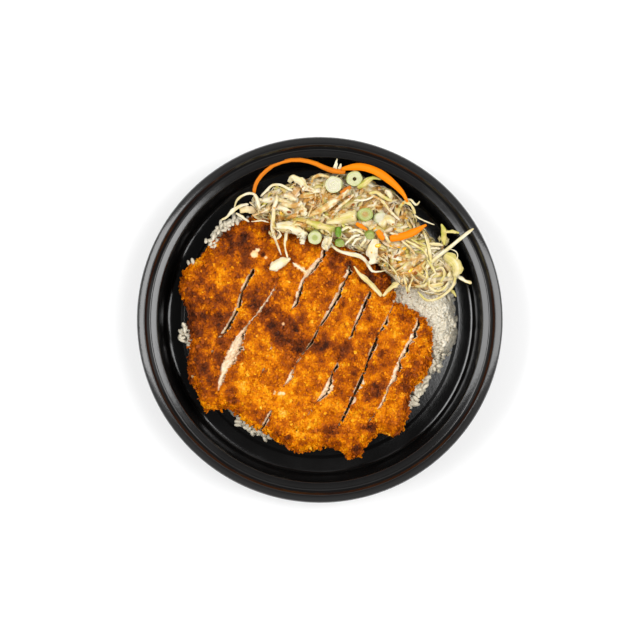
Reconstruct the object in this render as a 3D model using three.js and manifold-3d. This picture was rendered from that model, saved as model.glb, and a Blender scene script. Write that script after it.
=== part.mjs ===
// A chicken katsu plate: a breaded chicken cutlet, cut into strips, on a bed of rice, with a
// cabbage slaw, carrot and spring onion, served in a round black takeaway bowl.
// Millimetres, +Z up. The origin is the middle of the bowl's foot, on the table.
// +X is the diner's right and +Y points away from the diner.
import * as THREE from "three";
import { ImprovedNoise } from "three/addons/math/ImprovedNoise.js";
import { mergeVertices } from "three/addons/utils/BufferGeometryUtils.js";
import Module from "manifold-3d";

// ---------- driving dimensions ----------

const GAP = 0.35; // clearance that touching pieces keep
const TURN = 2 * Math.PI;

const bowl = {
  rimRadius: 114.5, // a nine inch bowl
  height: 45,
  wall: 1.2,
  beadRadius: 110.4, // crest of the rim
  skirt: 6.5, // how far the rim hangs down outside
  ledgeRadius: 106.6, // outer edge of the lid ledge
  ledgeWidth: 4.2,
  ledgeDrop: 4.8, // ledge below the rim's crest
  floorRadius: 98.4, // where the wall meets the floor's fillet
  floorFillet: 2.8,
  footRadius: 96.4,
  footWidth: 7,
  footHeight: 1, // the middle of the base stands this far off the table
  around: 56,
};

const rice = {
  middle: [-1, -3],
  depth: 16.5, // plateau that the cutlet lies on
  shoulder: 5, // squareness of the heap's edge
  heapAt: [70, 14], // where it is scooped higher, beside the cutlet
  heapHeight: 7,
  heapSpread: 17,
  grainLength: 6.6,
  grainThickness: 2.5,
  rimGrains: 48,
  heapGrains: 22,
  grainsAt: [74, 2], // middle of the grains on the bare rice beside the cutlet
  grainsReach: [13, 26],
  rings: 8,
};

const cutlet = {
  middle: [-9, -10],
  thickness: 13.5,
  belly: 0.42, // height of the widest level, as a share of the thickness
  shoulder: 7,
  lumps: 2.2, // height of the broad lumps in the meat
  crags: 0.9, // height of the crags in the crumb
  farEnd: 75, // where the knife's cuts stop along Y
  kerf: 0.9, // gap that the knife leaves
  slant: 1.7, // how far a strip's foot reaches under the next one
  rings: 17,
};

const slaw = {
  middle: [16, 70],
  foot: 12, // lowest shreds, where the heap leans over the rice
  level: 30, // height of the heap's widest part
  crown: 40.5,
  shoulder: 3,
  shredThickness: 0.9,
  strays: 17, // shreds laid over the heap by rule
  rings: 6,
};

const carrotThickness = 1.3;
const onionThickness = 3.2;

// ---------- outlines, going anticlockwise ----------

const riceOutline = loop([
  [-90, -4], [-89, -18], [-82, -22], [-79, -34], [-69, -50], [-54, -65], [-42, -70],
  [-28, -76], [-12, -79], [9, -80], [34, -72], [52, -61], [63, -51], [69, -39], [78, -26],
  [88, -13], [86, 6], [83, 20], [78, 37], [65, 54], [45, 68], [20, 77], [-12, 79],
  [-37, 75], [-53, 68], [-66, 58], [-75, 47], [-83, 36], [-85, 18],
]);

const cutletOutline = loop([
  [-34, 65], [-50, 62], [-64, 52], [-72, 42], [-84, 32], [-89, 20], [-84, 9], [-82, -14],
  [-83, -33], [-76, -48], [-71, -57], [-63, -55], [-53, -58], [-43, -67], [-30, -73],
  [-19, -81], [-10, -84], [5, -79], [16, -84], [23, -90], [28, -80], [38, -71], [48, -73],
  [55, -62], [57, -45], [66, -36], [70, -22], [70, -6], [59, 5], [49, 10], [44, 25],
  [35, 37], [19, 46], [0, 54], [-18, 61],
]);

const slawOutline = loop([
  [-44, 70], [-38, 77], [-30, 82], [-20, 84], [-9, 88], [5, 92], [21, 91], [36, 87],
  [48, 79], [56, 70], [62, 61], [68, 52], [76, 45], [84, 38], [87, 28], [82, 18], [74, 15],
  [66, 18], [54, 22], [44, 30], [34, 39], [24, 45], [10, 49], [-2, 54], [-14, 56], [-26, 61],
]);

// The cuts cross the cutlet at these places along Y. Each row gives one cut's places along
// X there, and where along Y it gapes and by how much: the left strip's shoulder is lost,
// so that the meat shows.
const cutRows = [-88, -69, -50.5, -31.5, -13, 6, 25, 43.5];
const cuts = [
  { x: [-79, -77.5, -75, -72.5, -65, -54, -47.5, -34], at: 25, gape: 1.2, over: 20 },
  { x: [-69, -67, -64.5, -63.5, -54.5, -38.5, -26, -17.5], at: -22, gape: 8.6, over: 12 },
  { x: [-56.5, -50, -43, -36, -29, -18.5, -12, 2.5], at: 30, gape: 2.6, over: 12 },
  { x: [-48, -38, -27.5, -17.5, -5.5, 4.5, 14, 22.5], at: -36, gape: 1.8, over: 8 },
  { x: [-23.5, -14, -1.5, 8.5, 18, 25, 34.5, 43], at: -44, gape: 1.6, over: 10 },
  { x: [1.5, 10.5, 19, 27.5, 34.5, 44.5, 52, 59.5], at: -20, gape: 1.6, over: 16 },
  { x: [17.5, 27.5, 39.5, 46.5, 55.5, 64, 72, 79.5], at: -20, gape: 2.4, over: 16 },
];

// Shreds and leaves that stand out of the heap: where one starts, its heading in plan, its
// length, how far it turns on the way, how far it climbs, how high it arches and its width.
const laidShreds = [
  { from: [-63, 63, 27], heading: 33, length: 30, turn: -8, climb: 5, arch: 2, width: 2.4 },
  { from: [-54.5, 70, 31], heading: 99, length: 28, turn: -195, climb: 0, arch: 4, width: 2.4 },
  { from: [-37.5, 75, 31], heading: 66, length: 22, turn: -97, climb: 5, arch: 3, width: 2.6 },
  { from: [-21, 80, 32], heading: 83, length: 21, turn: -150, climb: 0, arch: 6, width: 4 },
  { from: [-27.5, 72, 38], heading: -107, length: 33, turn: 49, climb: -2, arch: 1, width: 3.2 },
  { from: [-21.5, 54.5, 37], heading: -100, length: 18, turn: 29, climb: -1, arch: 1, width: 2.4 },
  { from: [-30.5, 33, 36], heading: 34, length: 12, turn: -17, climb: 0, arch: 0, width: 5.6 },
  { from: [-44, 64.5, 35], heading: 27, length: 16, turn: -5, climb: 3, arch: 1, width: 2.6 },
  { from: [-27.5, 57, 38], heading: 3, length: 21, turn: -38, climb: 0, arch: 1, width: 5.6 },
  { from: [-4.5, 60.5, 39], heading: -23, length: 15, turn: 16, climb: 0, arch: 1, width: 5.6 },
  { from: [1.5, 53.5, 38], heading: -63, length: 26, turn: 67, climb: -1, arch: 1, width: 3.8 },
  { from: [23, 41.5, 37], heading: -51, length: 19, turn: 19, climb: 0, arch: 1, width: 3.8 },
  { from: [21.5, 34, 36], heading: -49, length: 27, turn: 7, climb: 0, arch: 1, width: 3.4 },
  { from: [40.5, 15, 36], heading: 13, length: 22, turn: 54, climb: -4, arch: 1, width: 3.4 },
  { from: [36, 44, 34], heading: -35, length: 26, turn: -49, climb: 0, arch: 2, width: 1.8 },
  { from: [5.5, 61.5, 40.5], heading: 15, length: 17, turn: -4, climb: 0.5, arch: 1, width: 8.2 },
  { from: [13.5, 76, 38.5], heading: -149, length: 20, turn: -2, climb: -1, arch: 1, width: 5.6 },
  { from: [65, 32.5, 33.5], heading: 38, length: 37.5, turn: -1, climb: 12.5, arch: 0, width: 2.4 },
  { from: [75.5, 40, 32], heading: 60, length: 19, turn: 60, climb: 5, arch: 2, width: 2.8 },
  { from: [48, 69, 33], heading: -24, length: 26, turn: 4, climb: 5, arch: 1, width: 1.8 },
  { from: [44, 76, 33], heading: -30, length: 20, turn: 80, climb: 6, arch: 1, width: 1.8 },
  { from: [78, 37, 33], heading: -10, length: 16, turn: -137, climb: -1, arch: 2, width: 6.2 },
  { from: [80, 31.5, 31], heading: -28, length: 17.5, turn: 0, climb: 4, arch: 0, width: 2.6 },
  { from: [84, 28, 31], heading: -85, length: 28, turn: -100, climb: -1, arch: 1, width: 2.2 },
  { from: [80, 23, 33], heading: -111, length: 13, turn: -121, climb: 0, arch: 1, width: 2 },
  { from: [64, 57.5, 38], heading: -56, length: 19, turn: -44, climb: -1, arch: 1.5, width: 2 },
  { from: [12, 84, 36], heading: 92, length: 16, turn: 0, climb: 6, arch: 0, width: 3.2 },
  { from: [22, 77, 35.5], heading: 27, length: 17, turn: 0, climb: 1, arch: 1, width: 3.8 },
  { from: [38.5, 58, 37.5], heading: 27, length: 8, turn: 0, climb: 0, arch: 1, width: 6.2 },
];

const carrots = [
  { from: [-41.5, 80, 35], heading: 71, length: 59, turn: -112, climb: 5, arch: 5, width: 2.3 },
  { from: [26, 94.5, 41.4], heading: -2, length: 37, turn: -66, climb: 0, arch: 0.5, width: 3.6 },
  { from: [42, 52, 41], heading: 8, length: 25.5, turn: 20, climb: 0, arch: 0, width: 4 },
  { from: [20.5, 59.5, 42], heading: -11, length: 7.5, turn: 0, climb: 0, arch: 0.5, width: 2 },
  { from: [19, 81, 41.5], heading: -137, length: 8, turn: 0, climb: 0, arch: 0.5, width: 3.2 },
  { from: [36.5, 57, 41.5], heading: -62, length: 7, turn: 0, climb: -1, arch: 0.5, width: 3 },
];

// Slices of spring onion: the middle, the two widths, the hole's width and the tilts.
const onions = [
  { at: [9.2, 85, 40], wide: 12, deep: 11.5, hole: 0, tilt: [8, -6] },
  { at: [21.3, 89, 39.3], wide: 9.6, deep: 9.8, hole: 3.2, tilt: [8, 6] },
  { at: [28, 65.3, 42.3], wide: 10, deep: 8.8, hole: 0, tilt: [-4, 4] },
  { at: [37, 64, 40.4], wide: 8.4, deep: 7.6, hole: 0, tilt: [10, 22] },
  { at: [-3.1, 52.3, 38.4], wide: 8.6, deep: 9, hole: 0, tilt: [18, 0] },
  { at: [12, 56, 40.5], wide: 3.6, deep: 6.2, hole: 0, tilt: [24, -12] },
  { at: [12, 49, 38.8], wide: 6, deep: 6, hole: 0, tilt: [14, 12] },
  { at: [31, 54, 41.2], wide: 5.4, deep: 5.8, hole: 0, tilt: [20, 8] },
];

// ---------- helpers ----------

const wasm = await Module();
wasm.setup();
const perlin = new ImprovedNoise();

function loop(points) {
  return new THREE.CatmullRomCurve3(points.map(([x, y]) => new THREE.Vector3(x, y, 0)), true);
}

function noise(x, y, size, layer = 0.5) {
  return perlin.noise(x / size + 40, y / size + 40, layer);
}

// A seeded draw from 0 to 1, so that every build is the same.
function drawFrom(seed) {
  let state = seed;
  return () => {
    state = (state + 0x6d2b79f5) | 0;
    let t = Math.imul(state ^ (state >>> 15), 1 | state);
    t = (t + Math.imul(t ^ (t >>> 7), 61 | t)) ^ t;
    return ((t ^ (t >>> 14)) >>> 0) / 4294967296;
  };
}

function bell(distance, spread) {
  return Math.exp(-((distance / spread) ** 2));
}

function bare(geometry) {
  const plain = geometry.clone();
  plain.deleteAttribute("normal");
  plain.deleteAttribute("uv");
  return mergeVertices(plain, 1e-4);
}

function solidOf(geometry) {
  const plain = bare(geometry);
  const vertProperties = new Float32Array(plain.attributes.position.array);
  const triVerts = new Uint32Array(plain.index.array);
  const made = new wasm.Manifold(new wasm.Mesh({ numProp: 3, vertProperties, triVerts }));
  if (made.volume() > 0) return made;
  triVerts.reverse(); // the faces pointed inwards
  return new wasm.Manifold(new wasm.Mesh({ numProp: 3, vertProperties, triVerts }));
}

function geometryOf(solid) {
  const { vertProperties, triVerts } = solid.getMesh();
  const geometry = new THREE.BufferGeometry();
  geometry.setAttribute("position", new THREE.BufferAttribute(vertProperties, 3));
  geometry.setIndex(new THREE.BufferAttribute(triVerts, 1));
  return geometry;
}

// The largest body alone: loose scraps go, and so do hollows that fusing has sealed.
function largest(solid) {
  return solid.decompose().reduce((a, b) => (b.volume() > a.volume() ? b : a));
}

// The same solid with its skin moved out by a clearance.
function grown(solid, by = GAP) {
  const geometry = geometryOf(solid);
  geometry.computeVertexNormals();
  const { position, normal } = geometry.attributes;
  for (let i = 0; i < position.count; i++) {
    position.setXYZ(
      i,
      position.getX(i) + normal.getX(i) * by,
      position.getY(i) + normal.getY(i) * by,
      position.getZ(i) + normal.getZ(i) * by,
    );
  }
  return solidOf(geometry);
}

// Everything above a height, as a solid to cut with.
function above(height) {
  const reach = 2 * bowl.rimRadius;
  const block = new THREE.BoxGeometry(reach, reach, reach);
  return solidOf(block.translate(0, 0, height + reach / 2));
}

// A closed pillow on an outline: an octahedron in many facets whose equator is laid along the
// outline. Its height is a function of x, y, the share of the way out and the side, 1 or -1.
function pillow(outline, [middleX, middleY], rings, heightAt) {
  const made = bare(new THREE.OctahedronGeometry(1, rings - 1));
  const position = made.attributes.position;
  for (let i = 0; i < position.count; i++) {
    const [a, b, c] = [position.getX(i), -position.getZ(i), position.getY(i)];
    const flat = Math.abs(a) + Math.abs(b);
    const share = flat / (flat + Math.abs(c));
    const out = 0.6 * share + 0.4 * Math.sin((share * Math.PI) / 2); // closer near the edge
    const quarters = flat === 0 ? 0 : b >= 0 ? 1 - a / flat : 3 + a / flat;
    const edge = outline.getPointAt((quarters / 4) % 1);
    const x = middleX + (edge.x - middleX) * out;
    const y = middleY + (edge.y - middleY) * out;
    position.setXYZ(i, x, y, heightAt(x, y, out, Math.sign(c)));
  }
  return solidOf(made);
}

// How full a pillow is at a share of the way out: 1 on top, falling to 0 at the edge.
function fullness(out, shoulder) {
  return Math.sqrt(Math.max(0, 1 - out ** shoulder));
}

// A path that starts at a point, keeps turning in plan, climbs and arches.
function sweep({ from: [x, y, z], heading, length, turn, climb, arch }, steps = 5) {
  const points = [];
  const place = new THREE.Vector3(x, y, z);
  for (let i = 0; i <= steps; i++) {
    const share = i / steps;
    place.z = z + climb * share + arch * Math.sin(Math.PI * share);
    points.push(place.clone());
    const way = THREE.MathUtils.degToRad(heading + turn * (share + 0.5 / steps));
    place.x += (length / steps) * Math.cos(way);
    place.y += (length / steps) * Math.sin(way);
  }
  return new THREE.CatmullRomCurve3(points);
}

// A flat strip that follows a path, its broad side up.
function strip(path, width, thickness, steps) {
  const section = new THREE.Shape();
  section.moveTo(-thickness / 2, -width / 2);
  section.lineTo(thickness / 2, -width / 2);
  section.lineTo(thickness / 2, width / 2);
  section.lineTo(-thickness / 2, width / 2);
  return new THREE.ExtrudeGeometry(section, { steps, extrudePath: path });
}

// ---------- bowl ----------

function bowlGeometry() {
  const { height: top, wall, floorRadius, floorFillet, ledgeRadius, ledgeWidth } = bowl;
  const ledge = top - bowl.ledgeDrop;
  const floor = bowl.footHeight + wall;
  const panelRadius = bowl.footRadius - bowl.footWidth;
  const wallTop = ledgeRadius - ledgeWidth;
  const profile = [
    // up the inside
    [0, floor],
    [panelRadius - 1.5, floor],
    [panelRadius + 0.5, wall],
    [floorRadius - floorFillet, wall],
    [floorRadius - 0.3 * floorFillet, wall + 0.3 * floorFillet],
    [floorRadius, wall + floorFillet],
    [wallTop, ledge - 0.8],
    [wallTop + 0.8, ledge],
    [ledgeRadius, ledge + 0.3],
    [bowl.beadRadius - 1.6, top - 0.5],
    [bowl.beadRadius, top],
    // over the rim and down its skirt
    [bowl.rimRadius - 1.6, top - 1.2],
    [bowl.rimRadius, top - 3.6],
    [bowl.rimRadius, top - bowl.skirt],
    [bowl.rimRadius - wall, top - bowl.skirt],
    [bowl.rimRadius - wall, top - 3.4],
    [bowl.beadRadius - 0.2, top - wall],
    // down the outside
    [ledgeRadius + wall, ledge - wall + 0.3],
    [wallTop + wall, ledge - wall],
    [floorRadius + wall, wall + floorFillet],
    [floorRadius - 0.2, 0.7],
    [bowl.footRadius, 0],
    // under the foot
    [panelRadius, 0],
    [panelRadius - 2, bowl.footHeight],
    [0, bowl.footHeight],
  ];
  const points = profile.map(([r, z]) => new THREE.Vector2(r, z));
  return new THREE.LatheGeometry(points, bowl.around).rotateX(Math.PI / 2);
}

// ---------- rice ----------

const floorHeight = bowl.footHeight + bowl.wall;
const riceBase = floorHeight + GAP;

function riceTop(x, y, out) {
  const [heapX, heapY] = rice.heapAt;
  const heap = rice.heapHeight * bell(Math.hypot(x - heapX, y - heapY), rice.heapSpread);
  return riceBase + (rice.depth + heap) * fullness(out, rice.shoulder) + 0.5 * noise(x, y, 9);
}

function riceCore() {
  const heightAt = (x, y, out, side) =>
    side < 0 ? riceBase - rice.depth * fullness(out, 2) : Math.max(riceTop(x, y, out), riceBase + 1);
  return pillow(riceOutline, rice.middle, rice.rings, heightAt).intersect(above(riceBase));
}

function grain(at, spin, tilt) {
  const { grainLength: long, grainThickness: thick } = rice;
  const made = new THREE.IcosahedronGeometry(0.5, 0).scale(long, thick * 1.1, thick);
  return solidOf(made.rotateY(tilt).rotateZ(spin).translate(...at));
}

function grains() {
  const draw = drawFrom(11);
  const made = [];
  const [middleX, middleY] = rice.middle;
  for (let i = 0; i < rice.rimGrains; i++) {
    const edge = riceOutline.getPointAt((i + 0.5 * draw()) / rice.rimGrains);
    const out = [0.93, 0.99, 0.965][i % 3];
    const x = middleX + (edge.x - middleX) * out;
    const y = middleY + (edge.y - middleY) * out;
    const z = Math.max(riceTop(x, y, out) - 0.2, riceBase + rice.grainThickness);
    made.push(grain([x, y, z], TURN * draw(), 0.8 * (draw() - 0.5)));
  }
  for (let i = 0; i < rice.heapGrains; i++) {
    const angle = 2.39996 * i; // the golden angle spreads them evenly
    const reach = Math.sqrt((i + 0.5) / rice.heapGrains);
    const x = rice.grainsAt[0] + rice.grainsReach[0] * reach * Math.cos(angle);
    const y = rice.grainsAt[1] + rice.grainsReach[1] * reach * Math.sin(angle);
    made.push(grain([x, y, riceTop(x, y, 0.88)], TURN * draw(), 0.7 * (draw() - 0.5)));
  }
  return made;
}

// ---------- cutlet ----------

const cutletBase = riceBase + rice.depth + 0.5;
const cutletRise = cutlet.thickness * (1 - cutlet.belly);

// The cutlet's height without its crags; below its widest level it curves back in.
function cutletSkin(x, y, out, side) {
  const full = fullness(out, cutlet.shoulder);
  const lumps = cutlet.lumps * noise(x, y, 26) + 0.8 * noise(x, y, 11);
  const belly = cutletBase + cutlet.thickness * cutlet.belly;
  return side < 0 ? belly - full * cutlet.thickness : belly + full * (cutletRise + lumps);
}

function wholeCutlet() {
  const heightAt = (x, y, out, side) => {
    const crags = noise(x, y, 3.7) + noise(x, y, 2.1, 7.5);
    return cutletSkin(x, y, out, side) + cutlet.crags * crags;
  };
  return pillow(cutletOutline, cutlet.middle, cutlet.rings, heightAt);
}

// The room that the whole cutlet needs, which its neighbours keep out of.
function roomFor(whole) {
  return grown(whole, 1.5 * GAP).intersect(above(cutletBase - GAP));
}

// The faces of a cut at a place along Y: the left strip's side of it or the right one's.
function cutFace({ x, at, gape, over }, isLeftStrip, y, isTop) {
  const line = new THREE.CubicInterpolant(cutRows, x, 1).evaluate(y)[0];
  const opened = gape * bell(y - at, over);
  const foot = isTop ? 0 : cutlet.slant;
  if (isLeftStrip) return line + foot + (isTop ? 0 : opened);
  return line + cutlet.kerf + foot + opened;
}

// The knife's share of the cutlet between two cuts: a box whose long sides are the cuts' faces.
function slab(leftCut, rightCut) {
  const reach = 110;
  const box = bare(new THREE.BoxGeometry(2, 2, 2, 1, 15, 1));
  const position = box.attributes.position;
  for (let i = 0; i < position.count; i++) {
    const y = THREE.MathUtils.mapLinear(position.getY(i), -1, 1, cutRows[0] - 8, cutlet.farEnd);
    const isTop = position.getZ(i) > 0;
    const isRightSide = position.getX(i) > 0;
    const cut = isRightSide ? rightCut : leftCut;
    const x = cut ? cutFace(cut, isRightSide, y, isTop) : (isRightSide ? 1 : -1) * reach;
    position.setXYZ(i, x, y, cutletBase + (isTop ? cutlet.thickness + 5 : 0));
  }
  return solidOf(box);
}

function stripsOf(whole) {
  return [...cuts, null].map((cut, i) => largest(whole.intersect(slab(cuts[i - 1], cut))));
}

// ---------- slaw, carrot and spring onion ----------

function slawTop(x, y, out) {
  const lumps = 0.85 + 0.4 * noise(x, y, 15);
  return slaw.level + (slaw.crown - slaw.level) * fullness(out, slaw.shoulder) * lumps;
}

function slawCore() {
  const heightAt = (x, y, out, side) =>
    side < 0 ? slaw.level - 2 * slaw.foot * fullness(out, slaw.shoulder) : slawTop(x, y, out);
  const core = pillow(slawOutline, slaw.middle, slaw.rings, heightAt);
  return core.intersect(above(slaw.foot));
}

function strayShreds() {
  const draw = drawFrom(5);
  const [middleX, middleY] = slaw.middle;
  const made = [];
  for (let i = 0; i < slaw.strays; i++) {
    const edge = slawOutline.getPointAt((i * 0.618) % 1);
    const out = 0.25 + 0.6 * Math.sqrt((i + 0.5) / slaw.strays);
    const x = middleX + (edge.x - middleX) * out;
    const y = middleY + (edge.y - middleY) * out;
    made.push({
      from: [x, y, slawTop(x, y, out) - 0.3],
      heading: 360 * draw(),
      length: 14 + 10 * draw(),
      turn: 150 * (draw() - 0.5),
      climb: 1.5 * (draw() - 0.5),
      arch: 1 + 2 * draw(),
      width: 1.8 + 2.2 * draw(),
    });
  }
  return made;
}

function shredSolid(shred) {
  const steps = shred.length > 20 ? 5 : 4;
  return solidOf(strip(sweep(shred), shred.width, slaw.shredThickness, steps));
}

function carrotSolid(carrot) {
  const steps = Math.ceil(carrot.length / 5);
  return solidOf(strip(sweep(carrot, 7), carrot.width, carrotThickness, steps));
}

function onionSolid({ at, wide, deep, hole, tilt: [tiltX, tiltY] }) {
  const slice = new THREE.Shape().absellipse(0, 0, wide / 2, deep / 2, 0, TURN);
  if (hole) slice.holes.push(new THREE.Path().absellipse(0, 0, hole / 2, hole / 2, 0, TURN));
  const bevel = 0.5;
  const made = new THREE.ExtrudeGeometry(slice, {
    depth: onionThickness - 2 * bevel,
    curveSegments: 5,
    bevelSize: bevel,
    bevelOffset: -bevel,
    bevelThickness: bevel,
    bevelSegments: 1,
  });
  made.rotateX(THREE.MathUtils.degToRad(tiltX));
  made.rotateY(THREE.MathUtils.degToRad(tiltY));
  return solidOf(made.translate(...at));
}

// ---------- the plate ----------

const plastic = { color: 0x17171a, roughness: 0.32, metalness: 0 };
const grainWhite = { color: 0xe8e6dc, roughness: 0.5, metalness: 0 };
const friedCrumb = { color: 0xc8721c, roughness: 0.7, metalness: 0 };
const cabbageGreen = { color: 0xdfe0b4, roughness: 0.45, metalness: 0 };
const carrotOrange = { color: 0xf28a12, roughness: 0.4, metalness: 0 };
const onionGreen = { color: 0xb6cc7c, roughness: 0.35, metalness: 0 };

const plate = new THREE.Group();

function serve(name, solid, finish) {
  const mesh = new THREE.Mesh(geometryOf(solid), new THREE.MeshStandardMaterial(finish));
  mesh.name = name;
  plate.add(mesh);
}

const bowlSolid = solidOf(bowlGeometry());
const bowlRoom = grown(bowlSolid);
const whole = wholeCutlet();
const strips = stripsOf(whole);
const stripRoom = roomFor(whole);
const carrotSolids = carrots.map(carrotSolid);
const onionSolids = onions.map(onionSolid);

const bareBed = largest(riceCore().subtract(stripRoom).subtract(bowlRoom));

let heap = slawCore();
for (const shred of [...laidShreds, ...strayShreds()]) heap = heap.add(shredSolid(shred));
for (const one of [...carrotSolids, ...onionSolids]) heap = heap.subtract(grown(one, 2 * GAP));
heap = largest(heap.subtract(stripRoom).subtract(bowlRoom).subtract(grown(bareBed)));

let bed = bareBed;
const grainRoom = [stripRoom, bowlRoom, grown(heap, 2 * GAP)];
for (const one of grains()) {
  const isClear = grainRoom.every((room) => room.intersect(one).isEmpty());
  if (isClear && !bareBed.intersect(one).isEmpty()) bed = bed.add(one);
}

serve("bowl", bowlSolid, plastic);
serve("rice", bed, grainWhite);
strips.forEach((one, i) => serve(`katsu_strip_${i + 1}`, one, friedCrumb));
serve("slaw", heap, cabbageGreen);
carrotSolids.forEach((one, i) => serve(`carrot_${i + 1}`, one, carrotOrange));
onionSolids.forEach((one, i) => serve(`onion_${i + 1}`, one, onionGreen));

export default plate;
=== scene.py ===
# %% [markdown]
# # A chicken katsu plate
# This lesson dresses a plain model of a takeaway meal: a breaded and fried chicken cutlet, cut into
# strips, on white rice, with a cabbage slaw, in a round black plastic bowl.
# The plain model comes from a CAD program and is already the right size and in the right place.
# Blender's work is everything that makes food look like food: crumb, grains, shreds, gloss and colour.
# Each step has a short explanation like this one, and then the code that makes it.

# %% Set up
import math
import random

import bmesh
import bpy
import numpy as np
from mathutils import Matrix, Vector, kdtree, noise
from mathutils.bvhtree import BVHTree


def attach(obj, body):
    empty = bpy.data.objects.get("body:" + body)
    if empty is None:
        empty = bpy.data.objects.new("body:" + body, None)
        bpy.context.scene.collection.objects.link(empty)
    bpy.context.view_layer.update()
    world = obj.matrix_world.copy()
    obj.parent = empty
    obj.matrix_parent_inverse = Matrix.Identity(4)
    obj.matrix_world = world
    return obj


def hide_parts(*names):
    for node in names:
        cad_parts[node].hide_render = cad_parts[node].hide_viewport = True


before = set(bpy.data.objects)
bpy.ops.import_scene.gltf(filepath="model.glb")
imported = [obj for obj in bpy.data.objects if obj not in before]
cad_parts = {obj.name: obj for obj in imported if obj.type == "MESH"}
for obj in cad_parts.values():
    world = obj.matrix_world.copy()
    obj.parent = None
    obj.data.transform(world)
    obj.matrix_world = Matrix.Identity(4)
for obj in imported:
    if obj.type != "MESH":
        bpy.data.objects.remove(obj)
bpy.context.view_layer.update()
MM = 0.001  # a millimetre, in Blender's metres
print("CAD nodes:", len(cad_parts))

# %% [markdown]
# ## Node helpers
# Materials and the light of the room are built from nodes. `put` adds a node and plugs things into
# it, and `new_group` starts a group that several materials share. `ramp`, `mix` and `sum_of` are the
# steps that come back most: a number turned into a colour, two colours mixed, and numbers added up.

# %% Node helpers


def plug(tree, socket, value):
    """Gives an input a plain value, or the output of another node."""
    if isinstance(value, bpy.types.NodeSocket):
        tree.links.new(value, socket)
    else:
        socket.default_value = value


def put(tree, kind, inputs=None, **settings):
    made = tree.nodes.new("ShaderNode" + kind)
    for key, value in settings.items():
        setattr(made, key, value)
    for key, value in (inputs or {}).items():
        plug(tree, made.inputs[key], value)
    return made


def new_group(name, **takes):
    """A node group with number inputs and one output, called Mask."""
    tree = bpy.data.node_groups.new(name, "ShaderNodeTree")
    for label, value in takes.items():
        socket = tree.interface.new_socket(label, in_out="INPUT", socket_type="NodeSocketFloat")
        socket.default_value = value
    tree.interface.new_socket("Mask", in_out="OUTPUT", socket_type="NodeSocketFloat")
    return tree, tree.nodes.new("NodeGroupInput"), tree.nodes.new("NodeGroupOutput")


def use_group(tree, group, **inputs):
    made = put(tree, "Group", node_tree=group)
    for key, value in inputs.items():
        plug(tree, made.inputs[key], value)
    return made.outputs["Mask"]


print("nodes can be put, plugged and grouped")

# %% Steps that come back in many materials


def ramp(tree, value, stops):
    """Turns a number from 0 to 1 into colour: stops are (place, red, green, blue)."""
    made = tree.nodes.new("ShaderNodeValToRGB")
    elements = made.color_ramp.elements
    while len(elements) < len(stops):
        elements.new(0.5)
    for element, (place, *colour) in zip(elements, stops):
        element.position = place
        element.color = (*colour, 1.0)
    tree.links.new(value, made.inputs["Fac"])
    return made.outputs["Color"]


def mix(tree, share, one, other):
    made = put(tree, "Mix", data_type="RGBA")
    plug(tree, made.inputs[0], share)
    plug(tree, made.inputs[6], one if isinstance(one, bpy.types.NodeSocket) else (*one, 1.0))
    plug(tree, made.inputs[7], other if isinstance(other, bpy.types.NodeSocket) else (*other, 1.0))
    return made.outputs[2]


def sum_of(tree, start, *terms):
    """A starting number plus some outputs, each times its weight."""
    total = start
    for value, weight in terms:
        made = put(tree, "Math", {0: value, 1: weight, 2: total}, operation="MULTIPLY_ADD")
        total = made.outputs[0]
    return total


def product(tree, one, other):
    return put(tree, "Math", {0: one, 1: other}, operation="MULTIPLY").outputs[0]


def between(tree, value, low, high):
    """Spreads a mask from 0 to 1 between two numbers."""
    return put(tree, "MapRange", {"Value": value, "To Min": low, "To Max": high}).outputs["Result"]


def attribute(tree, name):
    return put(tree, "Attribute", attribute_name=name).outputs["Fac"]


def bump(tree, shader, height, strength, depth_mm):
    """Lets a mask tilt the surface: white spots look depth_mm higher than black ones."""
    made = put(tree, "Bump", {"Height": height, "Strength": strength, "Distance": depth_mm * MM})
    tree.links.new(made.outputs["Normal"], shader.inputs["Normal"])


print("node helpers ready")

# %% [markdown]
# ## Camera, light and table
# The plate is seen from straight above, from more than a metre away, with a long lens. A long lens
# keeps the bowl's wall narrow all round, as it is in catalogue pictures of food.
# Two soft boxes stand left and right, high up. They draw the bright bands on the left and right of
# the black rim. The room is pale near the horizon and dark overhead, where the camera hangs, so that
# the black floor of the bowl has nothing bright to mirror. The table is white and overexposed.

# %% Camera
CAMERA_HEIGHT = 1.195
CAMERA_ASIDE = (0.00012, -0.00007)  # a hair beside the middle of the plate
LENS = 103.6

camera = bpy.data.objects.new("camera", bpy.data.cameras.new("camera"))
camera.data.lens = LENS
camera.location = (*CAMERA_ASIDE, CAMERA_HEIGHT)
bpy.context.scene.collection.objects.link(camera)
bpy.context.scene.camera = camera
bpy.context.scene.view_settings.view_transform = "Standard"
print("camera", CAMERA_HEIGHT, "m above the table")

# %% Lamps
LAMP_DISTANCE = 1.4


def soft_box(name, from_overhead, azimuth, wide, high, watts):
    """A soft box that faces the plate: angles in degrees from overhead and round it, and metres."""
    light = bpy.data.lights.new(name, "AREA")
    light.shape = "RECTANGLE"
    light.size = wide
    light.size_y = high
    light.energy = watts
    holder = bpy.data.objects.new(name, light)
    down, around = math.radians(from_overhead), math.radians(azimuth)
    way = Vector((math.sin(down) * math.cos(around), math.sin(down) * math.sin(around), math.cos(down)))
    holder.location = way * LAMP_DISTANCE
    holder.rotation_euler = way.to_track_quat("Z", "Y").to_euler()
    bpy.context.scene.collection.objects.link(holder)


soft_box("right_box", from_overhead=33, azimuth=5, wide=0.64, high=1.10, watts=14.5)
soft_box("left_box", from_overhead=33, azimuth=172, wide=0.85, high=0.60, watts=13.0)
print("two soft boxes", LAMP_DISTANCE, "m from the plate")

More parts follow.
